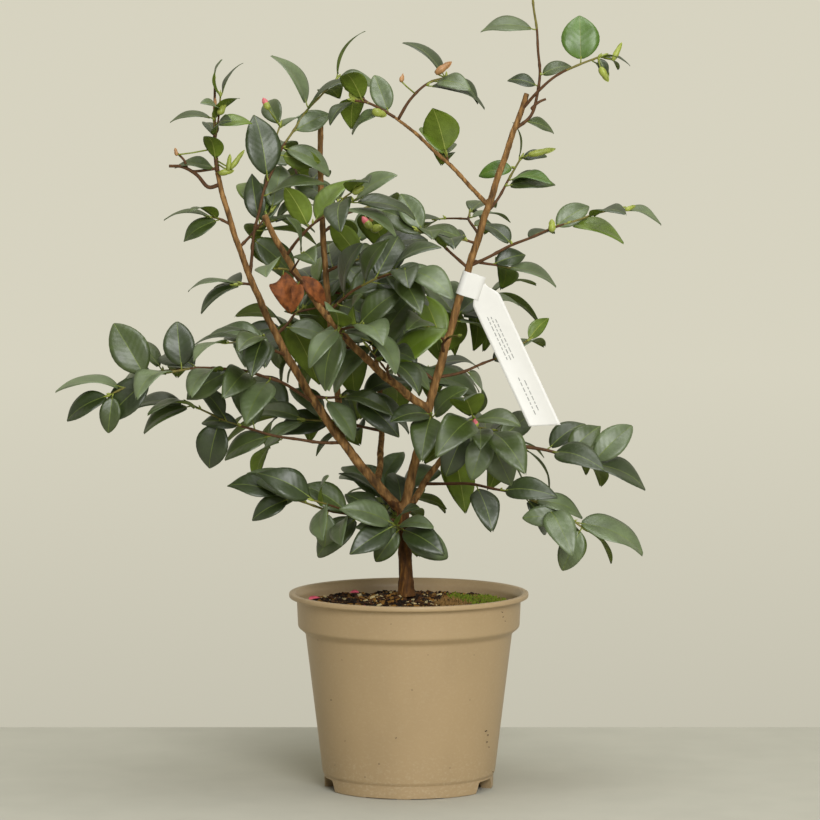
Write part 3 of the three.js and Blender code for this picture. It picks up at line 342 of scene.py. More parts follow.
# Points about 3 mm apart along a rod, and round it where it is thick.
def rod_points(points, radius):
    found = []
    last = len(points) - 1
    for i in range(last):
        step = points[i + 1] - points[i]
        length = length_of(step)
        forward = step * (1 / length)
        count = max(1, int(length // 3))
        across = unit(cross(forward, (0, 1, 0) if abs(forward[1]) < 0.8 else UP))
        other = cross(forward, across)
        for j in range(count + 1):
            p = points[i] + step * (j / count)
            r = mix(*radius, (i + j / count) / last)
            found.append(p)
            for q in range(6 if r > 1.5 else 0):
                found.append(p + round_step(across, other, q * math.pi / 3, r))
    return found


# The cells between a shown point and where it is seen from.
kept_clear = set()


def keep_in_view(p):
    toward = unit(VIEWPOINT - p)
    for k in range(VIEW["first"], VIEW["last"] + 1):
        q = p + toward * (VIEW["step"] * k)
        if q[1] < VIEW["front"]:
            return
        kept_clear.add(cell_of(q))


def keep_boughs_in_view(limbs):
    for name, spans in IN_VIEW.items():
        for low, high in spans:
            count = int(LIMBS[name]["length"] * (high - low) // 3)
            for k in range(count + 1):
                keep_in_view(along(limbs[name], mix(low, high, k / count))[0])


# A leaf blade: half its width at a share of its length, and the point there, from -1 to 1 across.
def half_width(t):
    return math.sin(math.pi * t ** 0.85) ** 0.8 if 0 < t < 1 else 0.0


def leaf_point(leaf, t, across):
    out = across * half_width(t) * leaf["width"] * 0.5
    forward = leaf["length"] * (LEAF_STALK + t * (1 - 0.06 * t))
    lift = abs(out) * LEAF_FOLD - leaf["curl"] * leaf["length"] * t * t
    return leaf["base"] + (leaf["along"] * forward + leaf["side"] * out + leaf["face"] * lift)


def leaf_points(leaf):
    found = []
    rows = int(leaf["length"] // 4) + 1
    for i in range(rows + 1):
        t = i / rows
        columns = int(half_width(t) * leaf["width"] * 0.5 // 4) + 1
        for j in range(-columns, columns + 1):
            found.append(leaf_point(leaf, t, j / columns))
    return found


# A leaf may not come down into the pot. A shown one keeps off the other masses, a seeded one keeps a cell
# away from them, and a fine one stays in free cells within its mass's reach.
def leaf_is_clear(leaf, owner, kind, reach=None):
    beside = POT["rim_radius"] + LEAF_ROOM["beside_pot"]
    above = POT["height"] + LEAF_ROOM["above_pot"]
    foot = LEAF_ROOM["shown_foot" if kind == "shown" else "foot"]
    past = LEAF_ROOM["past_reach"]
    for p in leaf_points(leaf):
        if reach and any(p[i] < reach[0][i] - past or p[i] > reach[1][i] + past for i in range(3)):
            return False
        if p[2] < above and p[0] ** 2 + p[1] ** 2 < beside ** 2:
            return False
        cell = cell_of(p)
        away = p - leaf["base"]
        distance = away @ away
        if kind == "shown" or distance <= LEAF_ROOM["near"] ** 2:
            if distance > foot ** 2 and space.get(cell, owner) != owner:
                return False
        elif cell in space or cell in kept_clear:
            return False
        elif kind == "seeded" and any(space.get(cell + step, owner) != owner for step in NEIGHBOURS):
            return False
    return True


def leaf_from(base, forward, face, length, width, curl):
    normal = unit(face - forward * (face @ forward))
    side = cross(forward, normal)
    return {
        "base": base, "along": forward, "face": normal, "side": side,
        "length": length, "width": width, "curl": curl,
    }


# A leaf that stands out in the outline, facing the front and rolled upwards from there.
def shown_leaf(stem, share, bearing, rise, length, roll, ratio=SHOWN_LEAF["ratio"]):
    forward = heading(bearing, rise)
    size = (length / 1.04, length * ratio, SHOWN_LEAF["curl"])
    leaf = leaf_from(along(stem, share)[0], forward, SHOWN_LEAF["facing"], *size)
    upper = leaf["side"] * -1 if leaf["side"][2] < 0 else leaf["side"]
    turn = math.radians(roll)
    leaf["face"] = leaf["face"] * math.cos(turn) + upper * math.sin(turn)
    leaf["side"] = cross(forward, leaf["face"])
    return leaf


# A seeded leaf: it leaves the twig at an angle, sags, and faces up, out and a little to the front.
def seeded_leaf(site, turn, spread, sag, tilt, size):
    point, d = site
    level = cross(d, UP)
    sideways = unit(level) if level @ level > 1e-3 else V(1, 0, 0)
    above = cross(sideways, d)
    flatness = 0.35 + 0.65 * abs(d[2])
    outward = unit(sideways * math.cos(turn) + above * (math.sin(turn) * flatness))
    lean = d * math.cos(spread) + outward * math.sin(spread)
    forward = unit(V(lean[0], lean[1], lean[2] - sag))
    from_axis = V(point[0], point[1], 0)
    crownward = unit(from_axis) if from_axis @ from_axis > 400 else V(0, -1, 0)
    face = LEAF_FACE["toward"] + crownward * LEAF_FACE["outward"] + tilt
    return leaf_from(point, forward, face, *size)


# A mass's side twigs, each off the stem to one side where its space is free.
def side_twigs(name, mass, draw):
    twigs = []
    for k in range(mass.get("twigs", 0)):
        share = mix(mass["leafy"][0], mass["leafy"][1] - 0.1, (k + draw(0.1, 0.9)) / mass["twigs"])
        point, direction = along(mass["stem"], share)
        side = 1 if (k + int(draw(0, 2))) % 2 else -1
        stem_bearing = math.degrees(math.atan2(direction[1], direction[0]))
        stem_rise = math.degrees(math.asin(max(-1, min(1, direction[2]))))
        bearing = stem_bearing + side * draw(*SIDE_TWIG["bearing"])
        rise = stem_rise + draw(*SIDE_TWIG["rise"])
        length = mass["length"] * draw(*SIDE_TWIG["share"]) + SIDE_TWIG["extra"]
        bearings = (bearing, bearing - side * SIDE_TWIG["bend"])
        grown = {"bearing": bearings, "rise": (rise, rise - SIDE_TWIG["fall"]), "length": length}
        path = grow_path(point, grown, 3, 0)
        points = rod_points(path, (TWIG_RADIUS["side"], TWIG_RADIUS["side_tip"]))
        if all(space.get(cell_of(p), name) == name for p in points[3:]):
            twigs.append(path)
            claim(points, name)
    return twigs


# The places of the leaves on a twig: evenly spaced over its leafy stretch, and two more at a leafy tip.
def leaf_sites(path, leafy, spacing):
    usable = path_length(path) * (leafy[1] - leafy[0])
    count = max(1, int(usable // spacing))
    sites = [(along(path, mix(*leafy, (k + 0.5) / count)), False) for k in range(count)]
    if leafy[1] == 1:
        sites += [(along(path, 0.97), True), (along(path, 1), True)]
    return sites


# Leaves on a mass's own twigs. Each is tried in a few poses, and skipped where none is clear.
def grow_leaves(name, mass, draw, rule, kind, reach=None):
    vary = LEAF_VARIETY
    twigs = [(mass["stem"], mass["leafy"])] + [(path, (rule["bare"], 1)) for path in mass["side_twigs"]]
    for path, leafy in twigs:
        phase = draw(0, 2 * math.pi)
        for k, (site, tip) in enumerate(leaf_sites(path, leafy, rule["gap"])):
            length = mass["leaf"] * draw(*vary["length"]) * rule["length"]
            size = (length, length * draw(*vary["ratio"]), draw(*vary["curl"]))
            for attempt in range(rule["tries"]):
                turn = phase + k * LEAF_TURN + draw(*vary["turn"]) + attempt * vary["next_try"]
                spread = draw(*vary["tip_spread"]) if tip else draw(*vary["spread"])
                sag = draw(*vary["sag"])
                tilt = tuple(draw(*span) for span in vary["tilt"])
                leaf = seeded_leaf(site, turn, spread, sag, tilt, size)
                if leaf_is_clear(leaf, name, kind, reach):
                    mass["leaves"].append(leaf)
                    claim(leaf_points(leaf), name)
                    break


def grow_limbs():
    limbs = {}
    for name, limb in LIMBS.items():
        start = along(limbs[limb["parent"]], limb["at"])[0] if limb["parent"] else TRUNK_FOOT
        steps = max(4, int(limb["length"] // LIMB_STEP))
        limbs[name] = grow_path(start, limb, steps, LIMB_KINK if limb["parent"] else 0)
    return limbs


def limb_radius(name, share):
    limb = LIMBS[name]
    flare = 0 if limb["parent"] else math.exp(-share * limb["length"] / ROOT_FLARE["height"])
    return mix(*limb["radius"], share) * (1 + ROOT_FLARE["share"] * flare)


# The label's frame: across its blade and down its length, from where the band closes.
def label_frame(limbs):
    point, direction = along(limbs[LABEL["limb"]], LABEL["at"])
    right = unit(V(1, 0, 0) - direction * direction[0])
    lean = math.radians(LABEL["lean"])
    return {
        "point": point,
        "direction": direction,
        "right": right,
        "front": cross(direction, right),
        "head": point + right * LABEL["band_reach"],
        "down": V(math.sin(lean), 0.0, -math.cos(lean)),
        "across": V(math.cos(lean), 0.0, math.sin(lean)),
    }


def label_points(limbs):
    label = label_frame(limbs)
    found = []
    for i in range(int((LABEL["blade_length"] + 12) // 3) + 1):
        for j in range(int(2 * LABEL["blade_half"] // 3) + 1):
            down = label["down"] * (3 * i - 12)
            found.append(label["head"] + (down + label["across"] * (3 * j - LABEL["blade_half"])))
    return found


# The limbs, label and stems claim their space first, then the shown leaves, the seeded and the fine ones.
def grow_crown(limbs):
    for name, points in limbs.items():
        claim(rod_points(points, LIMBS[name]["radius"]), name)
    claim(label_points(limbs), "label")
    crown = {}
    for short_name, row in FOLIAGE.items():
        name = "foliage_" + short_name
        mass = {"leafy": (0.18, 1), "thick": TWIG_RADIUS["stem"], "gap": SEEDED["gap"]}
        mass.update(zip(FOLIAGE_COLUMNS, row), **row[len(FOLIAGE_COLUMNS)])
        root = along(limbs[mass["limb"]], mass["at"])[0]
        mass["stem"] = grow_path(root, mass, max(3, int(mass["length"] // TWIG_STEP)), TWIG_KINK)
        mass["leaves"] = []
        claim(rod_points(mass["stem"], (mass["thick"], TWIG_RADIUS["stem_tip"])), name)
        crown[name] = mass
    for (name, mass), row in zip(crown.items(), FOLIAGE.values()):
        for shown in row[len(FOLIAGE_COLUMNS) + 1:]:
            leaf = shown_leaf(mass["stem"], *shown)
            if leaf_is_clear(leaf, name, "shown"):
                mass["leaves"].append(leaf)
                claim(leaf_points(leaf), name)
    keep_boughs_in_view(limbs)
    for p in label_points(limbs):
        keep_in_view(p)
    for name, mass in crown.items():
        draw = seeded(mass["seed"])
        mass["side_twigs"] = side_twigs(name, mass, draw)
        grow_leaves(name, mass, draw, {**SEEDED, "gap": mass["gap"]}, "seeded")
    for name, mass in crown.items():
        if name.removeprefix("foliage_").startswith(DENSE):
            draw = seeded(mass["seed"] + FINE["seed_shift"])
            grow_leaves(name, mass, draw, FINE, "fine", reach_of(mass))
    return crown


def reach_of(mass):
    tips = [leaf_point(leaf, t, 0) for leaf in mass["leaves"] for t in (0, 0.5, 1)] + mass["stem"]
    return [tuple(end(p[i] for p in tips) for i in range(3)) for end in (min, max)]


# A smooth line through a growing line's points.
def smooth_path(points, pieces):
    ends = [points[0] * 2 - points[1], *points, points[-1] * 2 - points[-2]]
    smooth = []
    for a, b, c, d in zip(ends, ends[1:], ends[2:], ends[3:]):
        for k in range(pieces):
            t = k / pieces
            near = b * 2 + (c - a) * t
            bend = a * 2 - b * 5 + (c * 4 - d)
            rest = b * 3 - a + (d - c * 3)
            smooth.append((near + (bend * (t * t) + rest * t ** 3)) * 0.5)
    return smooth + [points[-1]]


# Colours of the photograph's surfaces, as red, green and blue between 0 and 1 on screen.
COLOURS = {
    "leaf_dark": (0.185, 0.24, 0.09),
    "leaf_mid": (0.25, 0.31, 0.12),
    # A paler grey green that paints the leaves' sheen.
    "leaf_grey": (0.36, 0.42, 0.265),
    "leaf_young": (0.37, 0.46, 0.09),
    "leaf_fresh": (0.29, 0.42, 0.075),
    "leaf_rib": (0.42, 0.48, 0.23),
    # The undersides' own paler yellow green, brightened as painted light shining through the leaves.
    "leaf_under": (0.38, 0.45, 0.13),
    "leaf_under_rib": (0.56, 0.60, 0.28),
    "leaf_stalk": (0.47, 0.51, 0.17),
    "leaf_dead": (0.51, 0.29, 0.135),
    "twig_brown": (0.35, 0.235, 0.13),
    "twig_green": (0.46, 0.43, 0.20),
    "bark": (0.52, 0.38, 0.21),
    "bark_flake": (0.64, 0.49, 0.30),
    # Darker bark and flakes for the low trunk: painted shade, where the crown shades it.
    "bark_low": (0.345, 0.215, 0.065),
    "bark_low_flake": (0.50, 0.34, 0.14),
    "cut_wood": (0.50, 0.38, 0.26),
    "bud_green": (0.58, 0.62, 0.26),
    "bud_pink": (0.80, 0.42, 0.44),
    "bud_brown": (0.66, 0.49, 0.31),
    "petal": (0.84, 0.36, 0.44),
    "pot": (0.68, 0.585, 0.44),
    "dust": (0.80, 0.74, 0.63),
    "soil": (0.13, 0.08, 0.035),
    "chip_dark": (0.11, 0.065, 0.03),
    "chip_brown": (0.31, 0.19, 0.08),
    "chip_tan": (0.52, 0.37, 0.15),
    "chip_pale": (0.76, 0.69, 0.50),
    "moss": (0.41, 0.47, 0.10),
    "moss_brown": (0.56, 0.43, 0.24),
    "label": (0.93, 0.925, 0.90),
    "label_line": (0.62, 0.62, 0.60),
    "floor": (0.70, 0.695, 0.645),
    "backdrop": (0.835, 0.82, 0.748),
    "room": (0.55, 0.54, 0.52),
}


def rgba(name, strength=1.0):
    linear = [((c + 0.055) / 1.055) ** 2.4 if c > 0.04 else c / 12.92 for c in COLOURS[name]]
    return tuple(c * strength for c in linear) + (1.0,)


# A node with its settings. Each input is a value, or another node's output that is linked to it.
def add_node(tree, kind, inputs=(), **settings):
    node = tree.nodes.new("ShaderNode" + kind)
    for name, value in settings.items():
        setattr(node, name, value)
    for key, value in dict(inputs).items():
        if isinstance(value, bpy.types.NodeSocket):
            tree.links.new(value, node.inputs[key])
        else:
            node.inputs[key].default_value = value
    return node


def add_math(tree, operation, *values):
    return add_node(tree, "Math", dict(enumerate(values)), operation=operation).outputs["Value"]


def add_range(tree, value, low, high, to_low=0.0, to_high=1.0):
    inputs = {"Value": value, "From Min": low, "From Max": high, "To Min": to_low, "To Max": to_high}
    return add_node(tree, "MapRange", inputs).outputs["Result"]


# A material in the making: its shader, and the noise and relief that its surface follows.
class Look:
    def __init__(self, name, roughness, specular=0.5):
        self.material = bpy.data.materials.new(name)
        self.material.use_nodes = True
        self.tree = self.material.node_tree
        self.shader = self.tree.nodes["Principled BSDF"].inputs
        self.shader["Roughness"].default_value = roughness
        self.shader["Specular IOR Level"].default_value = specular
        self.shader["Base Color"].default_value = rgba(name)
        self.material.diffuse_color = rgba(name)

    def noise(self, size_mm, detail=4.0, stretch=(1, 1, 1)):
        place = add_node(self.tree, "TexCoord").outputs["Object"]
        stretched = add_node(self.tree, "Mapping", {"Vector": place, "Scale": stretch}).outputs["Vector"]
        inputs = {"Vector": stretched, "Scale": 1 / (size_mm * MM), "Detail": detail}
        return add_node(self.tree, "TexNoise", inputs).outputs["Fac"]

    # Colours the surface by a noise, from darker to lighter stops of (position, colour name, strength).
    def colour(self, grain, *stops):
        node = add_node(self.tree, "ValToRGB", {"Fac": grain})
        while len(node.color_ramp.elements) < len(stops):
            node.color_ramp.elements.new(0.5)
        for element, (position, name, strength) in zip(node.color_ramp.elements, stops):
            element.position = position
            element.color = rgba(name, strength)
        self.tree.links.new(node.outputs["Color"], self.shader["Base Color"])

    # Each relief lies over the ones before it.
    def relief(self, height, depth_mm, strength=1.0):
        inputs = {"Height": height, "Distance": depth_mm * MM, "Strength": strength}
        if self.shader["Normal"].is_linked:
            inputs["Normal"] = self.shader["Normal"].links[0].from_socket
        self.tree.links.new(add_node(self.tree, "Bump", inputs).outputs["Normal"], self.shader["Normal"])


# Side veins run from the midrib towards the tip. The leaf's map holds millimetres over 50, X across it.
LEAF_MAP = 50


def vein_height(tree, spacing_mm):
    place = add_node(tree, "TexCoord").outputs["UV"]
    parts = add_node(tree, "SeparateXYZ", {"Vector": place}).outputs
    across = add_math(tree, "ABSOLUTE", add_math(tree, "SUBTRACT", parts["X"], 0.5))
    phase = add_math(tree, "SUBTRACT", parts["Y"], add_math(tree, "MULTIPLY", across, 0.9))
    return add_math(tree, "SINE", add_math(tree, "MULTIPLY", phase, 2 * math.pi * LEAF_MAP / spacing_mm))


def leaf_material(name, roughness, specular=0.5):
    look = Look(name, roughness, specular)
    look.colour(look.noise(15), (0.3, name, 0.72), (0.7, name, 1.22))
    look.relief(vein_height(look.tree, 6.5), 0.25, 0.16)
    look.relief(look.noise(7, 2), 1.0, 0.32)
    look.relief(look.noise(0.9, 2), 0.08, 0.15)
    return look.material


def dead_material():
    look = Look("leaf_dead", 0.68, 0.3)
    grain = look.noise(6, 5)
    look.colour(grain, (0.34, "leaf_dead", 0.42), (0.5, "leaf_dead", 0.9), (0.68, "leaf_dead", 1.35))
    look.relief(grain, 0.9, 0.8)
    return look.material


def plain_living(name, roughness):
    look = Look(name, roughness)
    grain = look.noise(5, 3)
    look.colour(grain, (0.3, name, 0.8), (0.7, name, 1.2))
    look.relief(grain, 0.3, 0.4)
    return look.material


def bark_material(name):
    look = Look(name, 0.78, 0.3)
    streaks = look.noise(3.2, 6, (1, 1, 0.22))
    flake = name + "_flake"
    look.colour(streaks, (0.32, name, 0.34), (0.45, name, 0.75), (0.56, name, 1.1), (0.68, flake, 1.05))
    look.relief(streaks, 0.8, 0.9)
    look.relief(look.noise(0.9, 3), 0.25, 0.6)
    return look.material


# Pale dust in scuffs, most of it near the foot.
def add_dust(look):
    tree = look.tree
    place = add_node(tree, "TexCoord").outputs["Object"]
    height = add_node(tree, "SeparateXYZ", {"Vector": place}).outputs["Z"]
    low = add_range(tree, height, 0.014, 0.045, 0.4, 0.12)
    share = add_math(tree, "MULTIPLY", low, add_range(tree, look.noise(3, 8, (1, 1, 1.4)), 0.5, 0.78))
    plain = look.shader["Base Color"].links[0].from_socket
    mixed = add_node(tree, "Mix", {"Factor": share, "A": plain, "B": rgba("dust")}, data_type="RGBA")
    tree.links.new(mixed.outputs["Result"], look.shader["Base Color"])


def pot_material():
    look = Look("pot", 0.46, 0.45)
    look.colour(look.noise(45, 6, (1, 1, 0.5)), (0.32, "pot", 0.95), (0.5, "pot", 1.0), (0.7, "pot", 1.03))
    add_dust(look)
    look.relief(look.noise(0.7, 3), 0.08, 0.35)
    return look.material


def soil_material():
    look = Look("soil", 0.95, 0.2)
    crumbs = look.noise(2.2, 8)
    stops = ((0.35, "soil", 0.5), (0.52, "soil", 1.1), (0.62, "chip_brown", 0.8), (0.74, "chip_tan", 0.7))
    look.colour(crumbs, *stops)
    look.relief(crumbs, 1.6)
    return look.material


def rough_material(name, roughness, size_mm):
    look = Look(name, roughness, 0.3)
    grain = look.noise(size_mm)
    look.colour(grain, (0.3, name, 0.7), (0.7, name, 1.25))
    look.relief(grain, 0.4, 0.6)
    return look.material


def label_material():
    look = Look("label", 0.42)
    clouds = look.noise(9, 3)
    look.colour(clouds, (0.3, "label", 0.97), (0.7, "label", 1.0))
    look.relief(clouds, 0.1, 0.3)
    return look.material


def floor_material():
    look = Look("floor", 0.8, 0.2)
    look.colour(look.noise(60, 5), (0.3, "floor", 0.96), (0.7, "floor", 1.02))
    return look.material


def place_in_scene(name, data):
    placed = bpy.data.objects.new(name, data)
    bpy.context.scene.collection.objects.link(placed)
    return placed


def rough_object(name, points, faces):
    mesh = bpy.data.meshes.new(name)
    mesh.from_pydata([p * MM for p in points], [], faces)
    return place_in_scene(name, mesh)


def settle(piece, slot, replaced=()):
    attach(piece, "root")
    if replaced:
        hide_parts(*replaced)


# Collects the points and faces of one piece, with a material and a place on the leaf map for each.
class Mesh:
    def __init__(self, name, slot, materials):
        self.name = name
        self.slot = slot
        self.materials = materials
        self.points = []
        self.faces = []
        self.kinds = []
        self.smooth = []
        self.places = []

    def add(self, points, faces, kind, smooth=True, places=None):
        first = len(self.points)
        self.points += points
        self.places += places or [(0.5, 0.5)] * len(points)
        self.faces += [[first + k for k in face] for face in faces]
        self.kinds += [kind] * len(faces) if isinstance(kind, str) else kind
        self.smooth += [smooth] * len(faces)

    def make(self, replaced=()):
        piece = rough_object(self.name, self.points, self.faces)
        mesh = piece.data
        names = list(self.materials)
        for name in names:
            mesh.materials.append(self.materials[name])
        mesh.polygons.foreach_set("material_index", [names.index(kind) for kind in self.kinds])
        mesh.polygons.foreach_set("use_smooth", self.smooth)
        layer = mesh.uv_layers.new(name="leaf")
        layer.data.foreach_set("uv", [value for face in self.faces for k in face for value in self.places[k]])
        mesh.update()
        settle(piece, self.slot, replaced)


# The faces of a closed loft of equal rings.
def loft_faces(steps, sides):
    faces = []
    for i in range(steps):
        for k in range(sides):
            a = i * sides + k
            b = i * sides + (k + 1) % sides
            faces.append((a, b, b + sides, a + sides))
    return faces + [tuple(range(sides))[::-1], tuple(steps * sides + k for k in range(sides))]


# The faces of a thin closed sheet, whose upper points come row by row before its under ones.
def sheet_faces(rows, columns):
    wide = columns + 1
    under = (rows + 1) * wide
    faces = []
    for i in range(rows):
        for j in range(columns):
            a = i * wide + j
            faces.append((a, a + 1, a + wide + 1, a + wide))
            faces.append((under + a, under + a + wide, under + a + wide + 1, under + a + 1))
        a = i * wide
        b = a + columns
        faces.append((a, a + wide, under + a + wide, under + a))
        faces.append((b, under + b, under + b + wide, b + wide))
    for a in range(columns):
        b = rows * wide + a
        faces.append((a, under + a, under + a + 1, a + 1))
        faces.append((b, b + 1, under + b + 1, under + b))
    return faces


# A round rod along a line, closed at both ends.
def tube(points, radius_at, sides):
    last = len(points) - 1
    found = []
    guide = None
    for i, point in enumerate(points):
        forward = unit(points[min(i + 1, last)] - points[max(i - 1, 0)])
        guide = guide or (V(0, 1, 0) if abs(forward[1]) < 0.8 else UP)
        guide = unit(guide - forward * (guide @ forward))
        other = cross(forward, guide)
        radius = radius_at(i / last)
        found += [point + round_step(guide, other, 2 * math.pi * k / sides, radius) for k in range(sides)]
    return found, loft_faces(last, sides)


# One leaf: a thin folded blade with a midrib, toothed and turned-down edges, and a stalk.
LEAF_ROWS = 20
LEAF_RIB = 0.08
LEAF_COLUMNS = (-1.0, -0.72, -0.38, -LEAF_RIB, LEAF_RIB, 0.38, 0.72, 1.0)
LEAF_THICKNESS = 0.35
LEAF_ARCH = 0.11
LEAF_CRUMPLE = 0.055
LEAF_EDGE_TURN = 0.055
LEAF_SPAN = (0.012, 0.994)
LEAF_NOTCH = 0.988
STALK_RADIUS = (0.85, 0.6)
STALK_DEPTH = 0.35


# The blade is fuller than an ellipse in its middle. A high bluntness gives it a round end, a low one a point.
def blade_half(leaf, t, blunt):
    point = 1 - (0.34 - 0.3 * blunt) * max(0, (t - 0.78) / 0.22) ** 2
    return math.sin(math.pi * t ** 0.87) ** (0.78 - 0.16 * blunt) * point * leaf["width"] * 0.5


# A point of the blade. The wave is the strength, the phase and the bluntness that were drawn for the leaf.
def blade_point(leaf, t, column, wave):
    strength, phase, blunt = wave
    half = blade_half(leaf, t, blunt)
    rib = mix(0.46, 0.2, t)
    share = abs(column)
    reach = min(rib, half * 0.5) if share == LEAF_RIB else min(mix(rib, half, share), half)
    out = math.copysign(reach, column)
    size = leaf["length"]
    lift = LEAF_FOLD * (math.sqrt(out * out + 1) - 1)
    lift -= LEAF_EDGE_TURN * leaf["width"] * share ** 4
    depth = leaf.get("crumple", LEAF_CRUMPLE) * leaf["width"]
    lift += strength * depth * share ** 2 * math.sin(phase + 7.5 * t + (column > 0) * 1.3)
    lift -= size * (leaf["curl"] * t * t + LEAF_ARCH * (t * t + t ** 4 - 1.3 * t))
    forward = size * (LEAF_STALK + t * (1 - 0.06 * t))
    return leaf["base"] + (leaf["along"] * forward + leaf["side"] * out + leaf["face"] * lift), out


def add_leaf(target, leaf, tone, draw):
    wave = (draw(-1, 1), draw(0, 6.28), draw())
    face = leaf["face"]
    top = []
    bottom = []
    places = []
    for row in range(LEAF_ROWS + 1):
        t = mix(*LEAF_SPAN, row / LEAF_ROWS)
        notch = LEAF_NOTCH if row % 2 else 1.0
        for column in LEAF_COLUMNS:
            edge = abs(column) == 1.0
            rib = abs(column) == LEAF_RIB
            point, out = blade_point(leaf, t, column * notch if edge else column, wave)
            top.append(point + face * (-0.12 if rib else 0.06))
            depth = LEAF_THICKNESS * (0.35 if edge else 1.0) + (0.45 * (1 - t) if rib else 0)
            bottom.append(point - face * depth)
            places.append((out / LEAF_MAP + 0.5, t * leaf["length"] / LEAF_MAP))
    columns = len(LEAF_COLUMNS) - 1
    own_under = tone in ("leaf_young", "leaf_fresh", "leaf_dead")
    # Most undersides take the paler underside colour, brightened as painted light shining through.
    plain = [tone, tone if own_under else "leaf_under"]
    rib_kinds = [tone, tone] if tone == "leaf_dead" else ["leaf_rib", "leaf_under_rib"]
    row_kinds = plain * (columns // 2) + rib_kinds + plain * (columns // 2) + [tone] * 2
    kinds = row_kinds * LEAF_ROWS + [tone] * 2 * columns
    target.add(top + bottom, sheet_faces(LEAF_ROWS, columns), kinds, True, places * 2)
    start = leaf["base"] - leaf["along"] * 0.5
    middle = leaf["base"] + leaf["along"] * (leaf["length"] * LEAF_STALK * 0.55) - face * STALK_DEPTH
    end = blade_point(leaf, 0.07, LEAF_RIB, (0, 0, 0))[0] - face * STALK_DEPTH
    target.add(*tube([start, middle, end], lambda s: mix(*STALK_RADIUS, s), 6), "leaf_stalk")


BUD_SCALES = 5
SCALE_THICKNESS = 0.22


# A bud from its foot along its heading. A large one is wrapped in overlapping scales.
def add_bud(target, foot, forward, length, width, kind, tip_kind=None, scaled=True):
    guide = unit(cross(forward, (0.31, 0.2, 0.93)))
    other = cross(forward, guide)
    rings, sides = (9, 10) if scaled else (5, 7)
    found = []
    for i in range(rings + 1):
        t = i / rings
        swell = math.sin(math.pi * min(t * 0.92 + 0.08, 1) ** 0.75) ** 0.9
        for k in range(sides):
            angle = 2 * math.pi * k / sides + 0.5 * t
            ridge = 1 + 0.10 * math.cos(3 * angle + 4 * t) * (1 - t)
            radius = max(width * 0.5 * swell * ridge, 0.12)
            found.append(foot + (forward * (length * t) + round_step(guide, other, angle, radius)))
    tip_kind = tip_kind or kind
    kinds = [tip_kind if i >= rings * 0.5 else kind for i in range(rings) for k in range(sides)]
    target.add(found, loft_faces(rings, sides), kinds + [kind, tip_kind])
    for k in range(BUD_SCALES if scaled else 0):
        out = round_step(guide, other, k * LEAF_TURN, 1)
        base = foot + (forward * (length * (0.04 + 0.09 * k)) + out * (width * 0.30))
        lean = unit(forward + out * (0.22 - 0.05 * k))
        bud_scale = leaf_from(base, lean, out, length * (0.45 + 0.06 * k), width * 0.85, 0.16)
        add_scale(target, bud_scale, tip_kind if k > 2 else kind)


# A bud scale or petal: a small curved sheet with two sides, cupped the way it faces.
def add_scale(target, leaf, kind, rows=6, cup=-0.55):
    top = []
    for row in range(rows + 1):
        t = mix(0.02, 0.98, row / rows)
        half = math.sin(math.pi * t ** 0.8) ** 0.7 * leaf["width"] * 0.5
        for column in (-1, -0.5, 0, 0.5, 1):
            out = column * half
            lift = cup * abs(out) * abs(column) - leaf["curl"] * leaf["length"] * t * t
            flat = leaf["along"] * (leaf["length"] * t) + leaf["side"] * out
            top.append(leaf["base"] + (flat + leaf["face"] * lift))
    bottom = [point - leaf["face"] * SCALE_THICKNESS for point in top]
    target.add(top + bottom, sheet_faces(rows, 4), kind)


# The photograph's lines of sight: forward, and to the right and up in its picture plane.
SIGHT = unit(AIM - CAMERA)
SIGHT_RIGHT = unit(cross(SIGHT, UP))
SIGHT_UP = cross(SIGHT_RIGHT, SIGHT)


# The place on a pixel's line of sight at a distance in front of or behind the trunk, in mm.
def sight_point(column, row, depth):
    right = SIGHT_RIGHT * (column - PHOTO_SIZE / 2)
    ray = SIGHT * FOCAL + (right + SIGHT_UP * (PHOTO_SIZE / 2 - row))
    return CAMERA + ray * ((depth - CAMERA[1]) / ray[1])


def pixel_of(p):
    reach = p - CAMERA
    far = reach @ SIGHT
    column = PHOTO_SIZE / 2 + FOCAL * (reach @ SIGHT_RIGHT) / far
    return column, PHOTO_SIZE / 2 - FOCAL * (reach @ SIGHT_UP) / far


# The miss, in pixels, that a millimetre further back counts for.
TWIG_FURTHER = 0.03
LEAF_FURTHER = 0.05
TWIG_TRIALS = 60


# The point of the twigs and boughs that shows nearest to a pixel. What is in front comes first.
def nearest_twig_point(crown, limbs, column, row):
    lines = list(limbs.values())
    for mass in crown.values():
        lines += [mass["stem"], *mass["side_twigs"]]

    def miss(p):
        u, v = pixel_of(p)
        return math.hypot(u - column, v - row) + TWIG_FURTHER * p[1]

    points = [along(line, k / TWIG_TRIALS)[0] for line in lines for k in range(TWIG_TRIALS + 1)]
    return min(points, key=miss)


# The first kind whose share of the whole reaches the number that was drawn.
def dealt(shares, pick):
    return next(kind for kind, share in shares if pick <= share)


# The seeds of what the scene adds, or what is added to a mass's own seed.
SEEDS = {"tones": 5000, "twig_buds": 900, "dead_leaves": 77, "bits": 431, "specks": 58, "print": 303}

# Leaves. A mass belongs to the left, the middle or the right of the crown by its stem.
# A share of the leaves, drawn at random, gets the grey tone of painted sheen.
LEAF_TONES = (("leaf_dark", 0.40), ("leaf_mid", 0.74), ("leaf_grey", 1.0))
SIDE_LIMITS = {"left": -70, "right": 45}

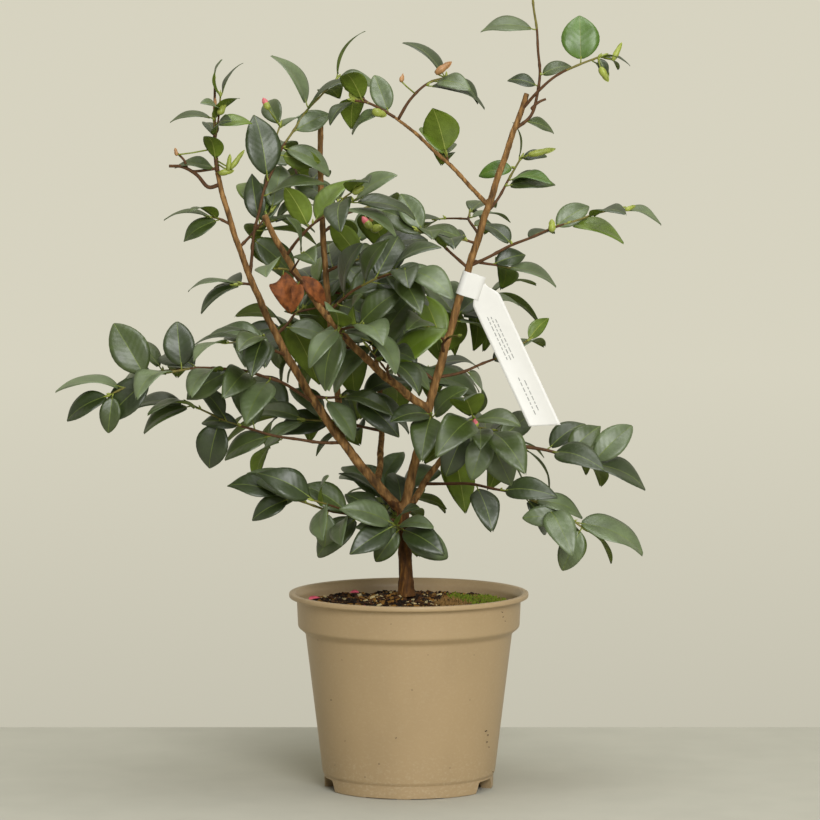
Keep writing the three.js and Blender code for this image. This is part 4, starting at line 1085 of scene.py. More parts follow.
# The tones of leaves that stand out, by where they are in the photograph, as (column, row).
PLACED_TONES = {
    "leaf_young": (
        (440, 137), (607, 228), (538, 332), (430, 318), (438, 352), (258, 206), (322, 262), (228, 120),
        (503, 283), (322, 186), (240, 195),
    ),
    "leaf_fresh": ((580, 43), (537, 178), (497, 161)),
    "leaf_mid": ((130, 340), (215, 380), (180, 372)),
    "leaf_dark": (
        (264, 138), (180, 335), (205, 440), (350, 505), (465, 500), (492, 512), (425, 532), (340, 240),
        (85, 405),
    ),
    "leaf_dead": ((286, 303),),
    # The leaves where the sheen shows get the grey tone of painted sheen.
    "leaf_grey": (
        (615, 435), (561, 545), (608, 527), (505, 22), (385, 88), (410, 216), (375, 187), (310, 127),
        (575, 208), (648, 210), (95, 382), (275, 478), (322, 488), (326, 520), (540, 505), (560, 488),
        (455, 85), (295, 80), (540, 270), (245, 345), (380, 330),
    ),
}

# Dead leaves that hang from a bough, as (column, row) of their foot, length, width, bearing, rise and curl.
DEAD_LEAVES = (
    (303, 272, 35, 16, 350, -36, 0.42), (300, 280, 26, 17, 235, -58, 0.3), (322, 281, 19, 16, 345, -22, 0.6),
)
DEAD_CRUMPLE = 0.34
DEAD_SHRINK = {"length": 0.6, "width": 0.78}


def placed_tones(crown):
    leaves = [leaf for mass in crown.values() for leaf in mass["leaves"]]
    middles = [leaf_point(leaf, 0.5, 0) for leaf in leaves]
    spots = [(*pixel_of(middle), middle[1]) for middle in middles]
    found = {}
    for tone, places in PLACED_TONES.items():
        for column, row in places:
            misses = [math.hypot(u - column, v - row) + LEAF_FURTHER * depth for u, v, depth in spots]
            found.setdefault(id(leaves[misses.index(min(misses))]), tone)
    return found


def crown_side(mass):
    x = along(mass["stem"], 0.5)[0][0]
    return "left" if x < SIDE_LIMITS["left"] else "right" if x > SIDE_LIMITS["right"] else "middle"


# A leaf of the solids that shows dead: shorter, narrower and crumpled.
def shrunk(leaf):
    changed = {key: leaf[key] * share for key, share in DEAD_SHRINK.items()}
    return {**leaf, **changed, "crumple": DEAD_CRUMPLE}


def leaf_materials():
    kinds = ("leaf_dark", "leaf_mid", "leaf_grey", "leaf_young", "leaf_fresh")
    materials = {kind: leaf_material(kind, 0.46, 0.9) for kind in kinds}
    materials["leaf_rib"] = leaf_material("leaf_rib", 0.45)
    materials["leaf_under"] = leaf_material("leaf_under", 0.62, 0.3)
    materials["leaf_under_rib"] = leaf_material("leaf_under_rib", 0.6, 0.3)
    materials["leaf_stalk"] = plain_living("leaf_stalk", 0.5)
    materials["leaf_dead"] = dead_material()
    return materials


def build_leaves(crown):
    materials = leaf_materials()
    placed = placed_tones(crown)
    for side in ("left", "middle", "right"):
        names = [name for name in crown if crown_side(crown[name]) == side]
        target = Mesh("leaves_" + side, "leaves", materials)
        for name in names:
            draw = seeded(crown[name]["seed"] + SEEDS["tones"])
            for leaf in crown[name]["leaves"]:
                tone_dealt = dealt(LEAF_TONES, draw())
                tone = placed.get(id(leaf), tone_dealt)
                add_leaf(target, shrunk(leaf) if tone == "leaf_dead" else leaf, tone, draw)
        target.make(names)


def build_dead_leaves(crown, limbs):
    materials = {"leaf_dead": dead_material(), "leaf_stalk": plain_living("leaf_stalk", 0.5)}
    target = Mesh("dead_leaves", "leaves", materials)
    draw = seeded(SEEDS["dead_leaves"])
    for column, row, length, width, bearing, rise, curl in DEAD_LEAVES:
        foot = nearest_twig_point(crown, limbs, column, row)
        face = unit(V(0.3 * draw(-1, 1), -1, 0.5))
        leaf = leaf_from(foot, heading(bearing, rise), face, length, width, curl)
        leaf["crumple"] = DEAD_CRUMPLE
        add_leaf(target, leaf, "leaf_dead", draw)
    target.make()


# Twigs with swollen joints, brown at the foot and green at the end, and small buds by their leaves.
TWIG_SIDES = 8
TWIG_GREEN_FROM = 0.62
TWIG_JOINTS = {"gap": 19, "swell": 0.28, "width": 2.2}
TWIG_STOUTER = {"foot": 1.15, "tip": 1.2}
AXIL_BUD_SHARE = 0.45

# The bare stubs that show, by where they are in the photograph: a radius, and points from foot to tip.
STUBS = (
    (2.0, ((208, 187), (197, 175), (183, 167), (169, 166))),
    (1.4, ((191, 171), (184, 160), (177, 153))),
    (1.3, ((214, 152), (215, 120), (215, 86))),
    (1.6, ((532, 108), (539, 102), (546, 99))),
)


# A radius that swells at even joints along a line.
def jointed(radius_at, size, joints, phase=0):
    def at(share):
        off = (share * size + phase) % joints["gap"] - joints["gap"] / 2
        return radius_at(share) * (1 + joints["swell"] * math.exp(-off * off / joints["width"]))

    return at


def twig_line(path, foot_radius, tip_radius, target):
    smooth = smooth_path(path, 6)
    low = foot_radius * TWIG_STOUTER["foot"]
    high = tip_radius * TWIG_STOUTER["tip"]
    radius_at = jointed(lambda share: mix(low, high, share), path_length(smooth), TWIG_JOINTS)
    points, faces = tube(smooth, radius_at, TWIG_SIDES)
    last = len(smooth) - 1
    kinds = ["twig_green" if i / last > TWIG_GREEN_FROM else "twig_brown" for i in range(last)]
    per_face = [kind for kind in kinds for k in range(TWIG_SIDES)]
    target.add(points, faces, per_face + ["twig_brown", "twig_green"])


# A stem that starts at a bough's tip carries on from the bough's own thickness.
def carry_on(mass, target):
    if mass["at"] == 1 and mass["limb"] not in CUT_TIPS:
        start = limb_radius(mass["limb"], 1)
        line = smooth_path(mass["stem"], 6)
        target.add(*tube(line, lambda share: mix(start, mass["thick"] * 0.8, share), 10), "twig_brown")


def add_twig_buds(target, mass):
    draw = seeded(mass["seed"] + SEEDS["twig_buds"])
    for leaf in mass["leaves"]:
        if draw() < AXIL_BUD_SHARE:
            forward = unit(leaf["along"] + leaf["face"] * 0.9)
            size = draw(3.5, 6.5)
            add_bud(target, leaf["base"], forward, size, size * 0.42, "bud_green", scaled=False)
    for path in [mass["stem"]] + mass["side_twigs"]:
        tip, forward = along(path, 1)
        size = draw(6, 9)
        add_bud(target, tip - forward * 0.6, forward, size, size * 0.34, "bud_green")


def build_twigs(crown, limbs):
    target = Mesh("twigs", "bark", {
        "twig_brown": rough_material("twig_brown", 0.7, 3),
        "twig_green": rough_material("twig_green", 0.6, 4),
        "bud_green": plain_living("bud_green", 0.5),
        "bud_brown": plain_living("bud_brown", 0.55),
    })
    for mass in crown.values():
        twig_line(mass["stem"], mass["thick"], TWIG_RADIUS["stem_tip"], target)
        carry_on(mass, target)
        for path in mass["side_twigs"]:
            twig_line(path, TWIG_RADIUS["side"], TWIG_RADIUS["side_tip"], target)
        add_twig_buds(target, mass)
    for radius, pixels in STUBS:
        foot = nearest_twig_point(crown, limbs, *pixels[0])
        line = smooth_path([foot] + [sight_point(*pixel, foot[1]) for pixel in pixels], 5)
        target.add(*tube(line, lambda share: radius * mix(1, 0.7, share), 10), "twig_brown")
    target.make(tuple(crown))


# The buds that show, by where they are in the photograph, as (column, row, length, width, bearing, rise),
# the kind of their foot and, where it differs, of their tip.
BUDS = (
    (617, 52, 17, 5.5, 10, 62, "bud_green"),
    (604, 74, 14, 7, 350, -60, "bud_green"),
    (541, 152, 24, 6.5, 8, 12, "bud_green"),
    (443, 68, 17, 7, 5, 35, "bud_brown"),
    (402, 78, 8, 4.5, 60, 60, "bud_brown"),
    (355, 97, 13, 10, 200, 30, "bud_green"),
    (360, 79, 9, 6, 100, 70, "bud_green", "bud_brown"),
    (266, 104, 11, 6.5, 150, 60, "bud_green", "bud_pink"),
    (367, 223, 13, 7.5, 160, 50, "bud_green", "bud_pink"),
    (377, 228, 12, 8, 330, 20, "bud_green"),
    (475, 423, 9, 6.5, 250, 50, "bud_green", "bud_pink"),
    (241, 377, 12, 8.5, 250, 20, "bud_green"),
    (215, 105, 12, 3.5, 80, 75, "bud_brown"),
    (176, 152, 7, 3.5, 130, 70, "bud_brown"),
    (222, 109, 12, 7, 30, 55, "bud_green"),
    (237, 160, 20, 5, 25, 52, "bud_green"),
    (229, 163, 15, 5, 75, 70, "bud_green"),
    (226, 172, 13, 6, 5, 10, "bud_green"),
    (379, 113, 13, 8, 10, -20, "bud_green"),
    (358, 190, 11, 6.5, 350, 30, "bud_green"),
    (552, 226, 11, 7, 95, 70, "bud_green"),
    (630, 208, 10, 4.5, 20, 20, "bud_green"),
    (372, 217, 10, 5, 300, 60, "bud_brown"),
)
BUD_IN_FRONT = 7
BUD_STALK_RADIUS = 0.8


def build_buds(crown, limbs):
    kinds = ("bud_green", "bud_pink", "bud_brown", "leaf_stalk")
    target = Mesh("buds", "leaves", {kind: plain_living(kind, 0.45) for kind in kinds})
    for column, row, length, width, bearing, rise, *ends in BUDS:
        foot = nearest_twig_point(crown, limbs, column, row)
        forward = heading(bearing, rise)
        base = sight_point(column, row, foot[1] - BUD_IN_FRONT) - forward * (length * 0.5)
        line = [foot, foot + (base - foot) * 0.6, base + forward * BUD_STALK_RADIUS]
        target.add(*tube(line, lambda share: BUD_STALK_RADIUS, 6), "leaf_stalk")
        add_bud(target, base, forward, length, width, *ends)
    target.make()


# The trunk and boughs as one skin with bark relief, and flat cut ends where the shrub was pruned.
BARK_VOXEL = 0.0008
# Below this ragged height the bark takes the darker colour of painted shade under the crown.
BARK_SHADE_TOP = {"height": 262, "ragged": 14, "size": 7}
BARK_JOINTS = {"gap": 27, "swell": 0.09, "width": 5}
CUT_END = {"reach": 5, "facing": 0.8}


def bark_lift(p):
    flat = Vector((p[0] / 2.6, p[1] / 2.6, p[2] / 9.0))
    flakes = noise.noise(flat) + 0.5 * noise.noise(flat * 2.3)
    return 0.30 * flakes + 0.12 * noise.noise(Vector(p) / 1.1)


# The mesh that an object has after its modifiers.
def shaped_mesh(rough):
    return bpy.data.meshes.new_from_object(rough.evaluated_get(bpy.context.evaluated_depsgraph_get()))


def in_mm(place):
    return V(*(c / MM for c in place))


def build_bark(limbs):
    raw = Mesh("bark_skin", "bark", {
        "bark": bark_material("bark"),
        "cut_wood": rough_material("cut_wood", 0.8, 1.5),
        "bark_low": bark_material("bark_low"),
    })
    for name, path in limbs.items():
        smooth = smooth_path(path, 6)
        radius_at = jointed(
            lambda share: limb_radius(name, share), path_length(smooth), BARK_JOINTS, 11 * len(name)
        )
        raw.add(*tube(smooth, radius_at, 16), "bark")
    rough = rough_object("bark_raw", raw.points, raw.faces)
    skin = rough.modifiers.new("skin", "REMESH")
    skin.mode = "VOXEL"
    skin.voxel_size = BARK_VOXEL
    ease = rough.modifiers.new("ease", "SMOOTH")
    ease.factor = 0.6
    ease.iterations = 3
    done = shaped_mesh(rough)
    bpy.data.objects.remove(rough)
    normals = [V(*vertex.normal) for vertex in done.vertices]
    for vertex, normal in zip(done.vertices, normals):
        p = in_mm(vertex.co)
        vertex.co = (p + normal * bark_lift(p)) * MM
    done.name = "bark_skin"
    for material in raw.materials.values():
        done.materials.append(material)
    kinds = list(raw.materials)
    cuts = [along(limbs[name], 1) for name in CUT_TIPS]
    for face in done.polygons:
        centre = in_mm(face.center)
        ragged = BARK_SHADE_TOP["ragged"] * noise.noise(Vector(centre) / BARK_SHADE_TOP["size"])
        # Faces below the ragged height get the darker bark of painted shade.
        low = centre[2] + ragged < BARK_SHADE_TOP["height"]
        cut = any(
            length_of(centre - tip) < CUT_END["reach"] and forward @ face.normal > CUT_END["facing"]
            for tip, forward in cuts
        )
        face.material_index = kinds.index("cut_wood" if cut else "bark_low" if low else "bark")
        face.use_smooth = not cut
    settle(place_in_scene("bark_skin", done), "bark", tuple(limbs))


# Rounds the corners of a profile of (radius, height) by the third number, in mm.
def rounded(profile):
    found = []
    last = len(profile) - 1
    for i, (r, z, *soft) in enumerate(profile):
        if not soft or i in (0, last):
            found.append((r, z))
            continue
        ends = []
        for other in (profile[i - 1], profile[i + 1]):
            step = (other[0] - r, other[1] - z)
            share = min(soft[0] / math.hypot(*step), 0.45)
            ends.append((r + step[0] * share, z + step[1] * share))
        (r0, z0), (r1, z1) = ends
        for k in range(5):
            t = k / 4
            found.append((mix(mix(r0, r, t), mix(r, r1, t), t), mix(mix(z0, z, t), mix(z, z1, t), t)))
    return found


# Turns a profile of (radius, height) round the axis.
def turned(profile):
    points = []
    rings = []
    for r, z in profile:
        sides = POT_SIDES if r else 1
        rings.append([len(points) + k % sides for k in range(POT_SIDES)])
        for k in range(sides):
            angle = 2 * math.pi * k / POT_SIDES
            points.append(V(r * math.cos(angle), r * math.sin(angle), z))
    faces = []
    for low, high in zip(rings, rings[1:]):
        for k in range(POT_SIDES):
            n = (k + 1) % POT_SIDES
            faces.append(tuple(dict.fromkeys((low[k], low[n], high[n], high[k]))))
    return points, faces


CUT_DEPTH = 24
CUT_START = 4
HOLE_SIDES = 24


# A prism from an outline of (across, height), pointing out from the axis on a bearing.
def prism(outline, bearing, inner):
    points = []
    for reach in (inner, inner + CUT_DEPTH):
        foot = heading(bearing, 0) * reach
        points += [foot + heading(bearing + 90, 0) * x + (0, 0, z) for x, z in outline]
    return points, loft_faces(1, len(outline))


# What is cut out of the pot: the notches and reliefs of its foot ring, and the drain holes.
def cutters():
    low = NOTCH["width"] / 2
    high = low - NOTCH["slope"]
    soft = NOTCH["corner"]
    top = POT["recess_height"] - 0.5
    half_shape = [(low, -1), (high, top - soft), (high - soft, top)]
    shape = half_shape + [(-x, z) for x, z in half_shape[::-1]]
    for bearing in NOTCH["bearings"]:
        yield prism(shape, bearing, POT["foot_inner_radius"] - CUT_START)
    half = RELIEF["width"] / 2
    tall = RELIEF["height"]
    slot = [(-half, -tall), (half, -tall), (half, tall), (-half, tall)]
    for bearing in RELIEF["bearings"]:
        yield prism(slot, bearing, POT["foot_inner_radius"] + CUT_START)
    for k in range(DRAIN["count"]):
        middle = heading(360 * (k + 0.5) / DRAIN["count"], 0) * DRAIN["circle"]
        hole = []
        for height in (-5, 7):
            centre = middle + (0, 0, POT["recess_height"] + height)
            hole += [centre + heading(360 * n / HOLE_SIDES, 0) * DRAIN["radius"] for n in range(HOLE_SIDES)]
        yield hole, loft_faces(1, HOLE_SIDES)


def inner_wall(gap):
    inner = POT["recess_height"] + POT["floor"] + gap
    wall = POT["wall"] + gap
    return [
        (POT["band_top_radius"] - wall, POT["lip_height"] - 1, 2),
        (POT["band_foot_radius"] - wall, POT["band_height"] + 1, 2),
        (POT["body_top_radius"] - wall, POT["shoulder_height"] + 1, 2),
        (POT["body_foot_radius"] - wall, inner + 3.5, 2),
        (POT["body_foot_radius"] - wall - 2, inner),
    ]


def inner_floor(gap):
    wall = POT["wall"] + gap
    return [
        (POT["pad_radius"] + POT["pad_slope"] - wall, POT["recess_height"] + POT["floor"] + gap, 1),
        (POT["pad_radius"] - wall, POT["floor"] + gap, 1),
        (0, POT["floor"] + gap),
    ]


def pot_profile():
    return [
        (0, 0),
        (POT["pad_radius"], 0, 1),
        (POT["pad_radius"] + POT["pad_slope"], POT["recess_height"], 1),
        (POT["foot_inner_radius"], POT["recess_height"], 1),
        (POT["foot_inner_radius"] + 1.5, 0, 0.6),
        (POT["foot_radius"], 0, 1.4),
        (POT["foot_radius"] + 0.3, POT["foot_height"] - 1, 0.6),
        (POT["body_foot_radius"], POT["foot_height"] + 1.5, 1),
        (POT["body_top_radius"], POT["shoulder_height"], 2.5),
        (POT["band_foot_radius"], POT["band_height"], 2),
        (POT["band_top_radius"], POT["lip_height"] - 0.5, 2),
        (POT["rim_radius"], POT["lip_height"] + 0.5, 1.6),
        (POT["rim_radius"], POT["height"] - 0.6, 1.2),
        (POT["rim_radius"] - 1.2, POT["height"], 1.2),
        (POT["rim_radius"] - 5, POT["height"], 1.6),
        *inner_wall(0),
        *inner_floor(0),
    ]


def build_pot():
    pot = rough_object("pot_shell", *turned(rounded(pot_profile())))
    scratch = [rough_object("cutter", *shape) for shape in cutters()]
    for cutter in scratch:
        cut = pot.modifiers.new("cut", "BOOLEAN")
        cut.operation = "DIFFERENCE"
        cut.solver = "EXACT"
        cut.object = cutter
    done = shaped_mesh(pot)
    pot.modifiers.clear()
    pot.data = done
    for cutter in scratch:
        bpy.data.objects.remove(cutter)
    done.materials.clear()
    done.materials.append(pot_material())
    done.polygons.foreach_set("use_smooth", [True] * len(done.polygons))
    done.set_sharp_from_angle(angle=math.radians(32))
    settle(pot, "pot_plastic", ("pot",))


# The potting mix: a closed filling with a crumbly top, and loose bits, moss and fallen petals on it.
SOIL_EDGE = POT["band_foot_radius"] - POT["wall"] - GAP
SOIL_RINGS = 66
SOIL_LEVELS = (
    (SOIL["trunk_radius"], SOIL["trunk_level"]), (SOIL["mound_radius"], SOIL["mound_level"]),
    (SOIL["slope_radius"], SOIL["slope_level"]), (SOIL_EDGE, SOIL["wall_level"]),
)


def soil_height(x, y):
    r = math.hypot(x, y)
    level = SOIL["trunk_level"]
    for (r0, z0), (r1, z1) in zip(SOIL_LEVELS, SOIL_LEVELS[1:]):
        if r > r0:
            level = mix(z0, z1, min(1, (r - r0) / (r1 - r0)))
    place = Vector((x, y, 3.0))
    lumps = 2.2 * noise.noise(place / 14) + 1.8 * noise.noise(place / 5) + 0.9 * noise.noise(place / 2.2)
    return level + lumps * min(1, (SOIL_EDGE - r) / 4 + 0.15)


def on_soil(x, y, lift=0):
    return V(x, y, soil_height(x, y) + lift)


def build_soil():
    edge = SOIL_EDGE + 0.5
    lower = [(r, z) for r, z, *soft in inner_floor(GAP)[::-1] + inner_wall(GAP)[:0:-1]]
    lower.append((edge, SOIL["wall_level"] - 1.5))
    top = [(edge * (1 - k / SOIL_RINGS), 0) for k in range(1, SOIL_RINGS)] + [(0, 0)]
    points, faces = turned(lower + top)
    first = POT_SIDES * (len(lower) - 1) + 1
    target = Mesh("potting_mix_fill", "potting_mix", {"soil": soil_material()})
    target.add(points[:first] + [on_soil(x, y) for x, y, z in points[first:]], faces, "soil")
    target.make(("soil",))


CHIP_FACES = ((1, 2, 3, 0), (7, 6, 5, 4), (4, 5, 1, 0), (5, 6, 2, 1), (6, 7, 3, 2), (7, 4, 0, 3))


def random_chip(target, place, size, kind, draw):
    forward = heading(draw(0, 360), draw(-25, 25))
    up = unit(V(draw(-0.5, 0.5), draw(-0.5, 0.5), 1))
    side = unit(cross(forward, up))
    face = cross(side, forward)
    corners = []
    for z in (-1, 1):
        for x, y in ((-1, -1), (1, -1), (1, 1), (-1, 1)):
            long = forward * (x * size[0] * draw(0.55, 1))
            wide = side * (y * size[1] * draw(0.55, 1))
            corners.append(place + (long + (wide + face * (z * size[2] * draw(0.5, 1)))))
    target.add(corners, CHIP_FACES, kind, False)


BITS_EDGE = POT["band_foot_radius"] - POT["wall"] - 2
CHIP_COUNT = 2600
CHIP_KINDS = (("chip_dark", 0.40), ("chip_brown", 0.70), ("chip_tan", 0.92), ("chip_pale", 1.0))
CHIP_SMALL = (0.9, 0.6, 0.4)
CHIP_BIG = (3.8, 1.9, 1.3)
MOSS_PATCH = {"x": (34, 92), "y": (-14, 60), "tufts": 1500, "few_chips": 0.7}
MOSS_TUFT = {"x": 40, "y": -22, "radius": 17, "spikes": 420, "width": 0.55}


def in_moss(x, y):
    low, high = MOSS_PATCH["x"]
    near, far = MOSS_PATCH["y"]
    across = (x - (low + high) / 2) / ((high - low) / 2)
    deep = (y - (near + far) / 2) / ((far - near) / 2)
    return across ** 2 + deep ** 2 + 0.5 * noise.noise(Vector((x, y, 0)) / 9) < 1


def build_chips(draw):
    kinds = [kind for kind, share in CHIP_KINDS]
    target = Mesh("soil_bits", "potting_mix", {kind: rough_material(kind, 0.85, 1.2) for kind in kinds})
    for k in range(CHIP_COUNT):
        radius = BITS_EDGE * math.sqrt(draw(0.012, 1))
        angle = draw(0, 2 * math.pi)
        x = radius * math.cos(angle)
        y = radius * math.sin(angle)
        kind = dealt(CHIP_KINDS, draw())
        big = draw() ** 3
        size = [mix(small, large, big) for small, large in zip(CHIP_SMALL, CHIP_BIG)]
        if in_moss(x, y) and draw() < MOSS_PATCH["few_chips"]:
            continue
        random_chip(target, on_soil(x, y, size[2] * 0.5), size, kind, draw)
    target.make()


def add_spike(target, foot, forward, length, width, kind):
    guide = unit(cross(forward, (0.31, 0.9, 0.2)))
    other = cross(forward, guide)
    low = forward * (length * 0.35)
    found = [foot + (low + round_step(guide, other, math.pi * k / 2, width)) for k in range(4)]
    found += [foot, foot + forward * length]
    faces = [(4, (k + 1) % 4, k) for k in range(4)] + [(5, k, (k + 1) % 4) for k in range(4)]
    target.add(found, faces, kind)


def build_moss(draw):
    target = Mesh("moss", "potting_mix", {
        "moss": rough_material("moss", 0.9, 2),
        "moss_brown": rough_material("moss_brown", 0.9, 2),
    })
    placed = 0
    while placed < MOSS_PATCH["tufts"]:
        x = draw(*MOSS_PATCH["x"])
        y = draw(*MOSS_PATCH["y"])
        if not in_moss(x, y) or math.hypot(x, y) > BITS_EDGE - 1:
            continue
        placed += 1
        forward = unit(V(draw(-0.7, 0.7), draw(-0.7, 0.7), 1))
        size = (draw(2.2, 4.6), draw(0.7, 1.2))
        add_spike(target, on_soil(x, y, -0.6), forward, *size, "moss" if draw() < 0.9 else "moss_brown")
    for k in range(MOSS_TUFT["spikes"]):
        angle = draw(0, 2 * math.pi)
        radius = MOSS_TUFT["radius"] * math.sqrt(draw())
        x = MOSS_TUFT["x"] + radius * math.cos(angle)
        y = MOSS_TUFT["y"] + radius * math.sin(angle)
        forward = unit(V(draw(-0.9, 0.9), draw(-0.9, 0.9), 1))
        add_spike(target, on_soil(x, y, -0.5), forward, draw(2.5, 6.5), MOSS_TUFT["width"], "moss_brown")
    target.make()


# The fallen petals at the left of the pot, as (x, y, length, width, bearing).
PETALS = (
    (-99, -10, 20, 7, 350), (-86, -30, 22, 6, 335), (-70, -46, 17, 6, 345), (-92, 6, 14, 6, 40),
    (-46, 40, 9, 6, 200), (-40, -50, 8, 5, 70),
)
PETAL_RISE = 9
PETAL_LIFT = 3
PETAL_FACE = V(0.15, -0.25, 1)
PETAL_CURL = 0.12


def build_petals():
    target = Mesh("petals", "leaves", {"petal": plain_living("petal", 0.5)})
    for x, y, length, width, bearing in PETALS:
        forward = heading(bearing, PETAL_RISE)
        petal = leaf_from(on_soil(x, y, PETAL_LIFT), forward, PETAL_FACE, length, width, PETAL_CURL)
        add_scale(target, petal, "petal", 8, 0.5)
    target.make()


# Specks of dirt on the front of the pot, by where they are in the photograph, as (column, row, size).
SPECKS = (
    (502, 612, 0.9), (503, 617, 1.1), (505, 621, 0.8), (486, 731, 1.0), (488, 735, 0.7), (487, 742, 0.9),
    (489, 747, 0.8), (396, 738, 0.6), (379, 764, 0.6), (356, 608, 0.5), (342, 660, 0.4), (441, 604, 0.5),
    (412, 690, 0.4), (331, 700, 0.5), (450, 768, 0.5), (365, 777, 0.6), (474, 655, 0.4), (428, 655, 0.4),
    (345, 741, 0.4), (470, 700, 0.4), (493, 772, 0.6), (335, 765, 0.6), (391, 624, 0.5), (318, 640, 0.5),
)
SPECK_DEPTH = 0.35


def wall_radius(z):
    if z > POT["shoulder_height"] + 1:
        share = (z - POT["band_height"]) / (POT["lip_height"] - POT["band_height"])
        return mix(POT["band_foot_radius"], POT["band_top_radius"], share)
    return mix(POT["body_foot_radius"], POT["body_top_radius"], z / POT["shoulder_height"])


def wall_spot(column, row):
    p = sight_point(column, row, -wall_radius(POT["shoulder_height"]))
    for attempt in range(8):
        radius = wall_radius(p[2])
        p = sight_point(column, row, -math.sqrt(max(radius ** 2 - p[0] ** 2, 1)))
    return p


def build_specks():
    target = Mesh("dirt_specks", "potting_mix", {"chip_dark": rough_material("chip_dark", 0.85, 1.2)})
    draw = seeded(SEEDS["specks"])
    for column, row, size in SPECKS:
        box = (size * draw(0.6, 1.3), size * draw(0.4, 0.9), SPECK_DEPTH)
        random_chip(target, wall_spot(column, row), box, "chip_dark", draw)
    target.make()


# The loop label: a band round the bough, and a bent blade whose end is cut at a slant.
LABEL_FILM = {"thickness": 0.35, "clearance": 0.9, "front": -0.1, "back": 0.25, "bend": 2.1, "bow": 1.1}
BAND_STEPS = 40
BLADE_ABOVE = 3
BLADE_BOW_BY = 60
BLADE_ROWS = 90
BLADE_COLUMNS = 12

# Plain grey dashes stand for the lines of print, which isn't copied: (first, last, columns).
PRINT_LINES = ((26, 74, (-0.42, -0.2, 0.02)), (88, 128, (-0.25, 0.05)))
PRINT_DASH = {"length": 3.6, "gap": 1.5, "half_width": 0.42, "front": 0.18, "back": 0.06}
PRINT_RAGGED = {"first": 6, "last": 8, "length": (0.5, 1.5)}


# The inside of the band as seen along the bough: a circle that runs out into two flat tails.
def band_outline():
    inside = limb_radius(LABEL["limb"], LABEL["at"]) + LABEL_FILM["clearance"]
    reach = LABEL["band_reach"]
    opening = math.acos(inside / reach)
    outline = [(reach + 1, 0.25), (reach - 3, 0.45)]
    for k in range(BAND_STEPS + 1):
        angle = mix(opening, 2 * math.pi - opening, k / BAND_STEPS)
        outline.append((math.cos(angle) * inside, math.sin(angle) * inside))
    return outline + [(reach - 3, -0.45), (reach + 1, -0.25)]


def add_band(target, place):
    outline = band_outline()
    last = len(outline) - 1
    half = LABEL["band_height"] / 2
    inner = []
    outer = []
    for i, (x, y) in enumerate(outline):
        before = outline[max(i - 1, 0)]
        after = outline[min(i + 1, last)]
        step = (after[0] - before[0], after[1] - before[1])
        depth = LABEL_FILM["thickness"] / math.hypot(*step)
        for side, a, b in ((inner, x, y), (outer, x + step[1] * depth, y - step[0] * depth)):
            p = place["point"] + (place["right"] * a - place["front"] * b)
            side += [p + place["direction"] * height for height in (-half, 0.5 - half, half - 0.5, half)]
    target.add(inner + outer, sheet_faces(last, 3), "label")


def label_half(down):
    ramp = min(max((down + BLADE_ABOVE) / (LABEL["shoulder"] + BLADE_ABOVE), 0), 1)
    return mix(LABEL["head_half"], LABEL["blade_half"], ramp * ramp * (3 - 2 * ramp))


def label_lift(u, down):
    bend = LABEL_FILM["bend"] * math.sin(math.pi * min(1, max(0, down / LABEL["blade_length"])))
    return bend + LABEL_FILM["bow"] * (1 - u * u) * min(1, max(0, down / BLADE_BOW_BY))


# A point of the blade: out from its middle line, down from its head, and lifted towards the back.
def label_point(place, out, down, lift):
    normal = cross(place["across"], place["down"])
    return place["head"] + (place["across"] * out + place["down"] * down) + normal * lift


def add_blade(target, place):
    back = []
    front = []
    for i in range(BLADE_ROWS + 1):
        for j in range(BLADE_COLUMNS + 1):
            u = mix(-1, 1, j / BLADE_COLUMNS)
            end = LABEL["blade_length"] - LABEL["end_slant"] * (1 - u) / 2
            down = mix(-BLADE_ABOVE, end, i / BLADE_ROWS)
            spot = (place, u * label_half(down), down)
            bend = label_lift(u, down)
            back.append(label_point(*spot, LABEL_FILM["back"] + bend))
            front.append(label_point(*spot, LABEL_FILM["front"] + bend))
    target.add(back + front, sheet_faces(BLADE_ROWS, BLADE_COLUMNS), "label")


def add_dash(target, place, column, first, length):
    front = []
    back = []
    for down, side in ((first, -1), (first + length, -1), (first + length, 1), (first, 1)):
        half = label_half(down)
        out = column * half + side * PRINT_DASH["half_width"]
        bend = label_lift(out / half, down)
        front.append(label_point(place, out, down, bend - PRINT_DASH["front"]))
        back.append(label_point(place, out, down, bend - PRINT_DASH["back"]))
    faces = [(0, 1, 2, 3), (7, 6, 5, 4)]
    faces += [((k + 1) % 4, k, k + 4, (k + 1) % 4 + 4) for k in range(4)]
    target.add(front + back, faces, "label_line", False)


def add_print(target, place):
    draw = seeded(SEEDS["print"])
    for first, last, columns in PRINT_LINES:
        for column in columns:
            down = first + draw(0, PRINT_RAGGED["first"])
            while down < last - draw(0, PRINT_RAGGED["last"]):
                length = PRINT_DASH["length"] * draw(*PRINT_RAGGED["length"])
                add_dash(target, place, column, down, length)
                down += length + PRINT_DASH["gap"]


def build_label(limbs):
    place = label_frame(limbs)
    target = Mesh("loop_label", "label_film", {
        "label": label_material(),
        "label_line": rough_material("label_line", 0.5, 2),
    })
    add_band(target, place)
    add_blade(target, place)
    add_print(target, place)
    target.make(("label",))


# The floor ends behind the pot where the photograph's does, and the light is a pale, even daylight.
FLOOR = {"half_width": 2600, "front": -3200, "back": 346}
LIGHTS = {
    "key": {"at": (0.8, -3.0, 1.6), "size": 1.6, "power": 84},
    "top": {"at": (0.1, -0.4, 3.0), "size": 2.0, "power": 44},
}
LIGHT_AIM = V(0, 0, 0.35)
SENSOR = 36


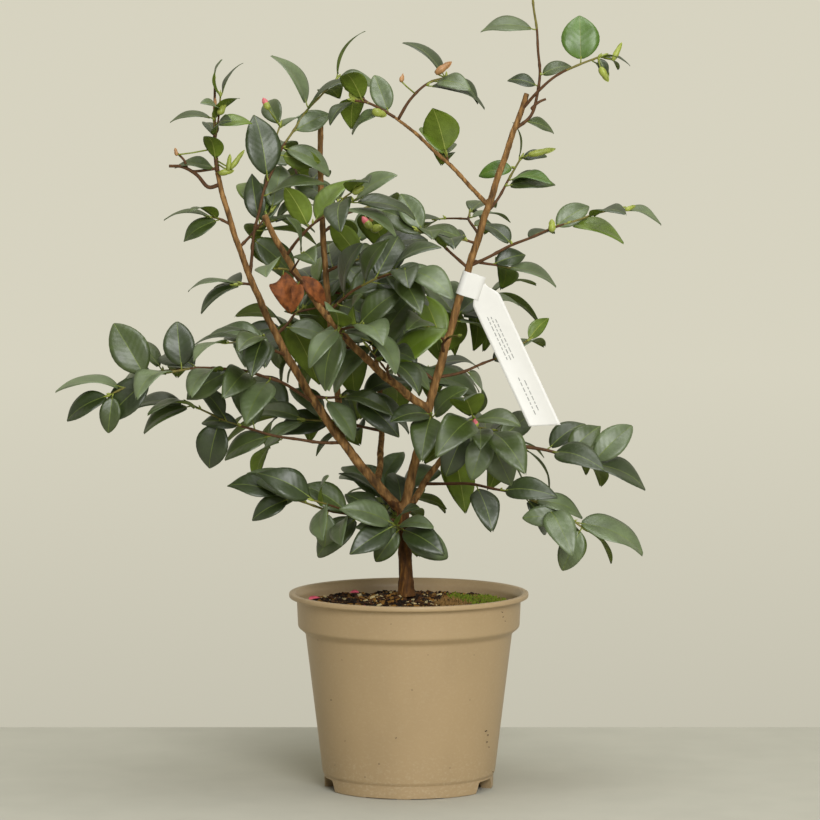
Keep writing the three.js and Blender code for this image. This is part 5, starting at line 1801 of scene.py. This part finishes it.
def build_stage():
    wide = FLOOR["half_width"]
    near = FLOOR["front"]
    far = FLOOR["back"]
    corners = [V(-wide, near, 0), V(wide, near, 0), V(wide, far, 0), V(-wide, far, 0)]
    floor = rough_object("floor", corners, [(0, 1, 2, 3)])
    floor.data.materials.append(floor_material())


# The wall behind is bright, a little less so near the floor, and the room in front of it is dimmer.
def build_world():
    world = bpy.data.worlds.new("daylight")
    world.use_nodes = True
    tree = world.node_tree
    background = tree.nodes["Background"].inputs
    place = add_node(tree, "TexCoord").outputs["Generated"]
    parts = add_node(tree, "SeparateXYZ", {"Vector": place}).outputs
    ramp = add_node(tree, "ValToRGB", {"Fac": add_range(tree, parts["Y"], -0.2, 0.45)})
    ramp.color_ramp.elements[0].color = rgba("room")
    ramp.color_ramp.elements[1].color = rgba("backdrop")
    tree.links.new(ramp.outputs["Color"], background["Color"])
    tree.links.new(add_range(tree, parts["Z"], -0.165, -0.075, 0.82, 1.02), background["Strength"])
    bpy.context.scene.world = world


def turn_to(placed, look):
    placed.rotation_euler = Vector(look).to_track_quat("-Z", "Y").to_euler()


def build_light(name, row):
    lamp = bpy.data.lights.new(name, "AREA")
    lamp.shape = "DISK"
    lamp.size = row["size"]
    lamp.energy = row["power"]
    light = place_in_scene(name, lamp)
    light.location = row["at"]
    turn_to(light, LIGHT_AIM - row["at"])


def build_camera():
    lens = bpy.data.cameras.new("camera")
    lens.sensor_width = SENSOR
    lens.sensor_fit = "HORIZONTAL"
    lens.lens = SENSOR * FOCAL / PHOTO_SIZE
    camera = place_in_scene("camera", lens)
    camera.location = CAMERA * MM
    turn_to(camera, AIM - CAMERA)
    bpy.context.scene.camera = camera


limbs = grow_limbs()
crown = grow_crown(limbs)
build_pot()
build_soil()
bits_draw = seeded(SEEDS["bits"])
build_chips(bits_draw)
build_moss(bits_draw)
build_petals()
build_specks()
build_bark(limbs)
build_twigs(crown, limbs)
build_leaves(crown)
build_buds(crown, limbs)
build_dead_leaves(crown, limbs)
build_label(limbs)
build_stage()
build_world()
for light_name, light_row in LIGHTS.items():
    build_light(light_name, light_row)
build_camera()
bpy.context.scene.view_settings.view_transform = "Standard"
bpy.context.view_layer.update()
